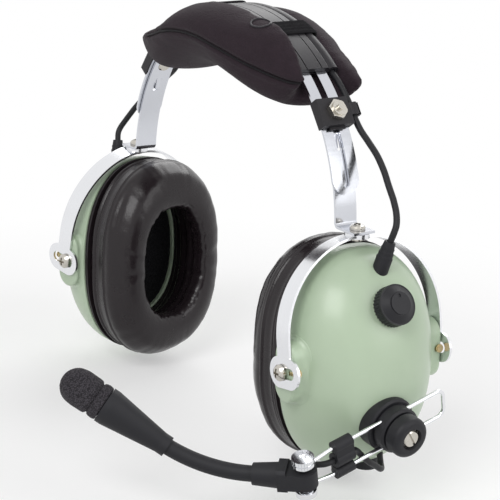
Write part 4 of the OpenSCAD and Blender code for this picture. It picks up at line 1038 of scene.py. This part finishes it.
# Angles from the top where the front and rear rolls end; the groove for the band: its edges, floor and end; how
# far the top of each roll lies from the groove; the least height of the top above the seam
FRONT_END, REAR_END = 53.0, 55.5
GROOVE_FRONT, GROOVE_REAR, GROOVE_R, GROOVE_END = -10.9, 17.7, 88.45, 46.6
ROLL_INSET, LEAST_RISE = 3, 2.5

# The pad's grid, the cloth's pressure and frames, and the dark tube laid in its seam valleys as painted
# shade: diameter, how far from the sewn line its points may stray and how close together they may lie
ROWS, STEPS = 120, 90
PRESSURE, CLOTH_FRAMES = 3.5, 16
SEAM_SHADE_D, SEAM_LINE_STRAY, SEAM_LINE_STEP = 0.9, 2.5, 0.3

# The fastener's ring on the front roll: angle, front to rear place, radius, radius of its tube, how far it
# stands up, and the radius at which millimetres along the roll are counted
SNAP_A, SNAP_Y, SNAP_R, SNAP_TUBE, SNAP_UP, SNAP_ARC_R = 24.0, -20.5, 4.5, 0.55, 0.3, 100


def rolled(q, n):
    """Rounded edge: (1 - |q|^n)^(1/n)."""
    return np.maximum(0, 1 - np.minimum(1, np.abs(q)) ** n) ** (1 / n)


def seam_radius(a):
    """Radius of the seam between top and underside: b - 9 + k |a / 45|^3, with b the band's radius and k 14.6
    towards the right ear and 13.4 towards the left one."""
    return BAND_R - 9 + np.where(a < 0, 14.6, 13.4) * np.abs(a / 45) ** 3


def pad_reach(y, half, end):
    """Angle at which a row of the pad ends: an oval in plan, blunter behind than in front, where it runs
    further towards the right ear (end -1) than the left one (end 1), less 4 exp(-d / 3), with d the distance
    from the groove, which rounds off the corners beside it."""
    front = y < 0
    oval = np.where(front, FRONT_END - 2.5 * end, REAR_END) * rolled(y / half, np.where(front, 2.0, 2.5))
    beside = np.maximum(0, np.where(front, GROOVE_FRONT - y, y - GROOVE_REAR))
    return oval - 4 * np.exp(-beside / 3)


def pad_surface(sizes, rows, steps):
    """Closed rings of constant y: over the top between the two seams and back along the underside.

    The front roll's height over the band is crest + 1.6 + 0.17 a - 1.5 (a / 40)^2 + 6 exp(-((a - 31) / 10)^2),
    less up to 3.6 towards the right ear, and the rear roll's is -6 (a / 40)^2. Height over the seam is held
    above 2.5 by 2.5 + (h + sqrt(h^2 + 4)) / 2, with h the height less 2.5. The underside is a chord across the
    head, dropped up to 17.9 further towards the ends."""
    half = sizes.pad_half_width
    y = rows[:, None]
    along = -np.cos(np.pi * np.arange(steps + 1) / steps)[None]
    reach = np.where(along < 0, pad_reach(y, half, -1), pad_reach(y, half, 1))
    groove = (y > GROOVE_FRONT) & (y < GROOVE_REAR)
    a = np.where(groove, np.minimum(reach, GROOVE_END), reach) * along
    edge = rolled(along, 5)
    seam = seam_radius(a)
    base = np.where(groove, np.minimum(seam, GROOVE_R - 2), seam)
    under = (BAND_R - sizes.pad_depth - 17.9 * smooth_step(np.abs(a) / 60)) / np.cos(np.radians(a))
    roll = sizes.pad_crest + 1.6 + 0.17 * a - 1.5 * (a / 40) ** 2
    roll = roll + 6 * bell(a, 31, 10) - 3.6 * smooth_step((-a - 10) / 16)
    crest = BAND_R + np.where(y < 0, roll, -6 * (a / 40) ** 2)
    away = np.where(
        y < 0,
        (GROOVE_FRONT - ROLL_INSET - y) / (GROOVE_FRONT - ROLL_INSET + half),
        (y - GROOVE_REAR - ROLL_INSET) / (half - GROOVE_REAR - ROLL_INSET),
    )
    over = crest - seam - LEAST_RISE
    over = LEAST_RISE + (over + np.sqrt(over**2 + 4)) / 2
    top = np.where(groove, GROOVE_R, seam + over * rolled(np.maximum(0, away), 2.2) * edge)
    low = base - (base - under) * rolled(y / half, 2.0) * edge
    upper = on_band(a, y, top)
    lower = on_band(a, y, low)[:, ::-1]
    return np.concatenate([upper, lower[:, 1:-1]], 1)


def seam_line(sizes, side):
    """The sewn edge on one side of the groove, from one end of the pad round to the other."""
    half = sizes.pad_half_width
    start = (-GROOVE_FRONT if side < 0 else GROOVE_REAR) + 0.8
    y = half * np.sin(np.linspace(np.arcsin(start / half), np.pi / 2, 70)) * side
    a = np.concatenate([-pad_reach(y, half, -1), pad_reach(y, half, 1)[-2::-1]])
    y = np.concatenate([y, y[-2::-1]])
    return on_band(a, y, seam_radius(a))


class HEADSET_OT_cushion(bpy.types.Operator):
    """Makes the head pad: a stuffed saddle, swelled by cloth pressure, with its welt afterwards"""

    bl_idname = "headset.cushion"
    bl_label = "Head pad"

    voxel: length("Voxel", "Size of the cloth's cells", 2.8)
    most: length("Most swell", "How far a point may move", 2.4)

    def swell(self, obj):
        """Cloth pressure from inside on the remeshed pad. A move of length d is cut to m tanh(d / m), with m
        the most swell."""
        start = vertex_points(obj)
        cloth = obj.modifiers.new("Cloth", "CLOTH")
        cloth.settings.use_pressure = True
        cloth.settings.uniform_pressure_force = PRESSURE
        cloth.settings.quality = 5
        cloth.settings.effector_weights.gravity = 0
        cloth.collision_settings.use_collision = False
        scene = bpy.context.scene
        for number in range(1, CLOTH_FRAMES + 1):
            scene.frame_set(number)
        shift = vertex_points(obj.evaluated_get(bpy.context.evaluated_depsgraph_get())) - start
        size = np.linalg.norm(shift, axis=1, keepdims=True)
        limit = self.most / MM
        shift *= limit * np.tanh(size / limit) / np.maximum(size, 1e-6)
        obj.modifiers.clear()
        scene.frame_set(1)
        put_points(obj, start + shift)

    def whole(self, obj):
        """Deletes crumbs that the remesh leaves at thin corners: every vertex takes the lowest number that it
        can reach along edges, and only the largest set of one number stays."""
        ends = edge_ends(obj)
        label = np.arange(len(obj.data.vertices))
        while True:
            low = np.minimum(label[ends[:, 0]], label[ends[:, 1]])
            reached = label.copy()
            np.minimum.at(reached, ends[:, 0], low)
            np.minimum.at(reached, ends[:, 1], low)
            reached = reached[reached]
            if (reached == label).all():
                break
            label = reached
        crumbs = np.flatnonzero(label != np.bincount(label).argmax())
        shape = bmesh.new()
        shape.from_mesh(obj.data)
        shape.verts.ensure_lookup_table()
        bmesh.ops.delete(shape, geom=[shape.verts[i] for i in crumbs])
        shape.to_mesh(obj.data)
        shape.free()

    def smoothed(self, obj, passes):
        """Laplacian smoothing: half way to the mean of the neighbours along edges, a number of times."""
        ends = edge_ends(obj)
        points = vertex_points(obj)
        number = np.bincount(ends.ravel(), minlength=len(points))[:, None]
        for _ in range(passes):
            total = np.zeros_like(points)
            np.add.at(total, ends[:, 0], points[ends[:, 1]])
            np.add.at(total, ends[:, 1], points[ends[:, 0]])
            points = 0.5 * points + 0.5 * total / number
        put_points(obj, points)

    def sewn(self, obj, line):
        """Sinks a valley along a line, 1.3 exp(-d^2) deep with a low swell 0.5 exp(-((d - 2.6) / 1.3)^2) on
        both sides, by the distance d to the line. Returns the line as it lay on the surface before that."""
        points = vertex_points(obj)
        nearest = [np.linalg.norm(points - p, axis=1).argmin() for p in line]
        rest = points[nearest]
        rest = rest[np.linalg.norm(rest - line, axis=1) < SEAM_LINE_STRAY]
        rest = rest[np.concatenate([[True], np.linalg.norm(np.diff(rest, axis=0), axis=1) > SEAM_LINE_STEP])]
        for _ in range(12):
            rest[1:-1] = (rest[:-2] + 2 * rest[1:-1] + rest[2:]) / 4
        near = np.minimum.reduce([np.linalg.norm(points - p, axis=1) for p in catmull(rest, 2)])
        displace(obj, 0.5 * bell(near, 2.6, 1.3) - 1.3 * bell(near, 0, 1))
        return rest

    def ring(self, pad):
        """The fastener's welt: a ring laid on the pad. Its height over each of its points is the mean radius of
        the top points round it, weighted by exp(-(gap / 1.2)^2)."""
        points = vertex_points(pad) - np.array([0, 0, ARC_Z])
        radius = np.hypot(points[:, 0], points[:, 2])
        angle = np.degrees(np.arctan2(points[:, 0], points[:, 2]))
        top = (radius > BAND_R) & (np.abs(angle - SNAP_A) < 8) & (np.abs(points[:, 1] - SNAP_Y) < 9)
        radius, angle, y = radius[top], angle[top], points[top, 1]
        around = circle(72)
        across, ahead = SNAP_R * np.cos(around), SNAP_Y + SNAP_R * np.sin(around)
        beside = np.radians(angle[None] - SNAP_A) * SNAP_ARC_R - across[:, None]
        gap = np.hypot(beside, y[None] - ahead[:, None])
        near = bell(gap, 0, 1.2)
        laid = (near * radius).sum(1) / near.sum(1)
        line = on_band(SNAP_A + np.degrees(across / SNAP_ARC_R), ahead, laid + SNAP_UP)
        out = line - line.mean(0)
        up = np.cross(out, np.roll(out, -1, 0)).sum(0)
        up *= np.sign(up[2]) / np.linalg.norm(up)
        out /= np.linalg.norm(out, axis=1, keepdims=True)
        a = circle(14)[None, :, None]
        rings = line[:, None] + SNAP_TUBE * (np.cos(a) * out[:, None] + np.sin(a) * up)
        welt = loft("snap_welt", rings, looped=True)
        finish = moulded("Snap ring", scaled(colours().cover, 1.3), low=0.4, high=0.55)
        finish_piece(welt, "headband", finish, ("pad_snap",))

    def execute(self, context):
        sizes = sizes_in_mm()
        rows = sizes.pad_half_width * np.sin(np.radians(np.linspace(-88, 88, ROWS)))
        pad = loft("head_cushion", pad_surface(sizes, rows, STEPS))
        displace(pad, np.full(len(pad.data.vertices), -0.3))
        remesh = pad.modifiers.new("Remesh", "REMESH")
        remesh.mode, remesh.voxel_size = "VOXEL", self.voxel
        apply_modifier(pad, remesh)
        self.whole(pad)
        self.smoothed(pad, 1)
        self.swell(pad)
        self.smoothed(pad, 3)
        finer = pad.modifiers.new("Subdivision", "SUBSURF")
        finer.levels = finer.render_levels = 2
        apply_modifier(pad, finer)
        pad.data.shade_smooth()
        # Painted shade: a thin dark tube laid in each seam valley stands for the shade that falls there
        for number, side in enumerate((-1, 1), 1):
            shade_tube = cord_mesh(f"cushion_seam_shade_{number}", self.sewn(pad, seam_line(sizes, side)), SEAM_SHADE_D, 10)
            finish_piece(shade_tube, "headband", elastic_finish(), ("head_pad",))
        finish_piece(pad, "headband", knit_finish(), ("head_pad",))
        self.ring(pad)
        return {"FINISHED"}


# Where the straps cross the band, as angles from its top; their width, ribs and path over the cover as
# (front to rear, radius)
STRAP_PLACES, STRAP_W, STRAP_R = (20.5, -17.0), 11.0, 96.3
STRAP_THICK, RIBS, RIB_H = 0.75, 20, 0.2
STRAP_PATH = (
    (-9.4, 88.7), (-9.4, 92), (-9.45, 94.6), (-9.2, 95.9), (-8.2, 96.4), (-5, 96.35), (0, 96.3),
    (8, 96.35), (13, 96.35), (15.2, 95.9), (16.1, 94.6), (16.2, 92), (16.2, 88.7),
)


class HEADSET_OT_straps(bpy.types.Operator):
    """Makes the ribbed elastic straps over the band cover"""

    bl_idname = "headset.straps"
    bl_label = "Elastic straps"

    def band(self, place):
        """Slab carried over the cover; its outer face is raised by 0.2 (1 + cos(20 pi w)), for w from -1 to 1
        across the strap, short of its two edges."""
        path = catmull(STRAP_PATH, 6)
        across = np.linspace(-1, 1, 85)
        step = np.gradient(path, axis=0)
        step /= np.linalg.norm(step, axis=1, keepdims=True)
        out = np.stack([-step[:, 1], step[:, 0]], -1)
        ribs = RIB_H * (1 + np.cos(RIBS * np.pi * across)) * (np.abs(across) < 0.97)
        thick = np.concatenate([STRAP_THICK + ribs, np.full_like(across, -0.05)])
        w = np.concatenate([across, across[::-1]])
        y = path[:, None, 0] + out[:, None, 0] * thick
        radius = path[:, None, 1] + out[:, None, 1] * thick
        angle = place + np.degrees(w * STRAP_W / 2 / STRAP_R)
        return on_band(angle + 0 * y, y, radius)

    def execute(self, context):
        for number, place in enumerate(STRAP_PLACES, 1):
            strap = loft(f"elastic_strap_{number}", self.band(place))
            finish_piece(strap, "headband", elastic_finish(), ("pad_straps",))
        return {"FINISHED"}


# ---- Boom ------------------------------------------------------------------------------


# The boom's mount on the left cup: its place from the cup's middle, how far it stands out and its turns; the
# wire loop's angle; the pin at the loop's front end and the arm's turn about it; where the gooseneck starts,
# its bend's radius and angle, and its roll; where the windscreen starts, and its rough surface
BOOM_U, BOOM_V, MOUNT_OUT = -2.3, -23.7, 1
MOUNT_YAW, MOUNT_PITCH, LOOP_TURN = 4.2, 100, -74.5
PIN_AHEAD, PIN_HIGH, ARM_YAW = 53, 5, 47.6
NECK_START, NECK_R, NECK_BEND, NECK_ROLL = 24, 75, 35, 12
SCREEN_START, SCREEN_SEED, SCREEN_ROUGH = 31.1, 5, 0.05


def microphone_place(sizes):
    """Chain from the left cup down the boom to the end of the gooseneck: Z runs along the microphone."""
    u, v = abs(BOOM_U / sizes.dome_half_width), abs(BOOM_V / sizes.dome_half_height)
    rho = (u**OUTLINE_N + v**OUTLINE_N) ** (1 / OUTLINE_N)
    on_dome = move(dome_depth_at(rho, sizes) + MOUNT_OUT, BOOM_U, BOOM_V)
    mount = on_dome @ turn("Z", MOUNT_YAW) @ turn("Y", MOUNT_PITCH)
    arm = cup_place("left") @ mount @ turn("Z", LOOP_TURN) @ move(PIN_AHEAD, 0, PIN_HIGH) @ turn("Y", ARM_YAW)
    bend = move(NECK_START, -NECK_R, 0) @ turn("Z", -NECK_BEND) @ move(0, NECK_R, 0)
    return arm @ turn("X", NECK_ROLL) @ bend @ turn("Y", 90)


class HEADSET_OT_windscreen(bpy.types.Operator):
    """Makes the foam windscreen over the microphone"""

    bl_idname = "headset.windscreen"
    bl_label = "Windscreen"

    def profile(self, r, tall):
        """(height, radius): rolled foot, collar groove, straight wall and a round nose of radius r."""
        nose = tall - r
        return catmull([
            (0.2, r * 0.5), (0.1, r - 1.2), (0.6, r - 0.35), (2.5, r - 0.1), (4.3, r - 0.5), (5.1, r - 1.4),
            (6, r - 0.4), (7.5, r), (nose, r), (nose + r * 0.5, r * 0.866), (nose + r * 0.82, r * 0.57),
            (nose + r * 0.97, r * 0.25), (tall, r * 0.02),
        ], 7)

    def execute(self, context):
        sizes = sizes_in_mm()
        height, radius = self.profile(sizes.microphone_diameter / 2, sizes.windscreen_length).T[:, :, None]
        a = circle(110)[None]
        rings = np.stack([radius * np.cos(a), radius * np.sin(a), height + SCREEN_START + 0 * a], -1)
        screen = loft("foam_windscreen", apply(microphone_place(sizes), rings))
        count = len(screen.data.vertices)
        displace(screen, np.random.default_rng(SCREEN_SEED).normal(0, SCREEN_ROUGH, count))
        foam = foam_finish("Windscreen foam", colours().screen)
        finish_piece(screen, "boom_arm", foam, ("windscreen",))
        return {"FINISHED"}


# ---- Finishes of the rigid parts -------------------------------------------------------


class HEADSET_OT_finishes(bpy.types.Operator):
    """Gives every rigid part its metal, plastic or rubber finish"""

    bl_idname = "headset.finishes"
    bl_label = "Rigid finishes"

    def execute(self, context):
        c = colours()
        screws = ("adjuster_screw", "adjuster_nut", "swivel_screw", "pivot_screws")
        given = (
            (plated("Spring steel", c.steel, low=0.1, high=0.3), ["spring_band", "left_slide", "right_slide"]),
            (plated("Stirrup steel", c.stirrup, low=0.14, high=0.34), ["left_stirrup", "right_stirrup"]),
            (
                plated("Nickel plate", c.nickel, low=0.18, high=0.42),
                [f"{side}_{screw}" for side in SIDES for screw in screws] + ["volume_pot", "boom_knob_screw"],
            ),
            (plated("Chrome wire", scaled(c.stirrup, 0.97), low=0.06, high=0.2), ["boom_wire", "boom_pin"]),
            (plated("Coil spring", c.brass, low=0.2, high=0.45), ["left_slot_springs", "right_slot_springs"]),
            (moulded("Cover moulding", c.cover, low=0.36, high=0.52, scale=1100, depth=0.02), ["band_cover"]),
            (
                moulded("Block nylon", scaled(c.cover, 0.8), low=0.45, high=0.6),
                ["left_adjuster_block", "right_adjuster_block", "left_driver", "right_driver"],
            ),
            (
                moulded("Ring moulding", c.vinyl, low=0.34, high=0.5, scale=1100, depth=0.02),
                ["left_seal_ring", "right_seal_ring"],
            ),
            (
                moulded("Knob moulding", c.knob, low=0.4, high=0.56, scale=1200),
                ["volume_knob", "boom_flange", "boom_hub", "boom_knob"],
            ),
            (
                rubber_finish(),
                ["left_cord_boot", "right_cord_boot", "lead_gland", "lead_clip", "boom_fitting", "gooseneck",
                 "mic_boot", "mic_capsule"],
            ),
        )
        for material, nodes in given:
            for node in nodes:
                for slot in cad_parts[node].material_slots:
                    slot.material = material
        return {"FINISHED"}


# ---- Panel and registration ------------------------------------------------------------

OPERATORS = (
    HEADSET_OT_stage, HEADSET_OT_cords, HEADSET_OT_shells, HEADSET_OT_seals, HEADSET_OT_liners,
    HEADSET_OT_cushion, HEADSET_OT_straps, HEADSET_OT_windscreen, HEADSET_OT_finishes,
)


class HEADSET_PT_panel(bpy.types.Panel):
    """Lists the headset's pieces, sizes and colours"""

    bl_idname = "HEADSET_PT_panel"
    bl_label = "Headset"
    bl_space_type = "VIEW_3D"
    bl_region_type = "UI"
    bl_category = "Headset"

    def draw(self, context):
        for group in (context.scene.headset_sizes, context.scene.headset_colours):
            for key in group.__annotations__:
                self.layout.prop(group, key)
        for operator in OPERATORS:
            self.layout.operator(operator.bl_idname)


CLASSES = (HeadsetSizes, HeadsetColours, *OPERATORS, HEADSET_PT_panel)


def register():
    for item in CLASSES:
        bpy.utils.register_class(item)
    bpy.types.Scene.headset_sizes = PointerProperty(type=HeadsetSizes)
    bpy.types.Scene.headset_colours = PointerProperty(type=HeadsetColours)


def unregister():
    del bpy.types.Scene.headset_colours
    del bpy.types.Scene.headset_sizes
    for item in reversed(CLASSES):
        bpy.utils.unregister_class(item)


def main():
    register()
    bpy.ops.headset.stage()
    bpy.ops.headset.cords()
    bpy.ops.headset.shells()
    bpy.ops.headset.seals()
    bpy.ops.headset.liners()
    bpy.ops.headset.cushion()
    bpy.ops.headset.straps()
    bpy.ops.headset.windscreen()
    bpy.ops.headset.finishes()


if __name__ == "__main__":
    main()
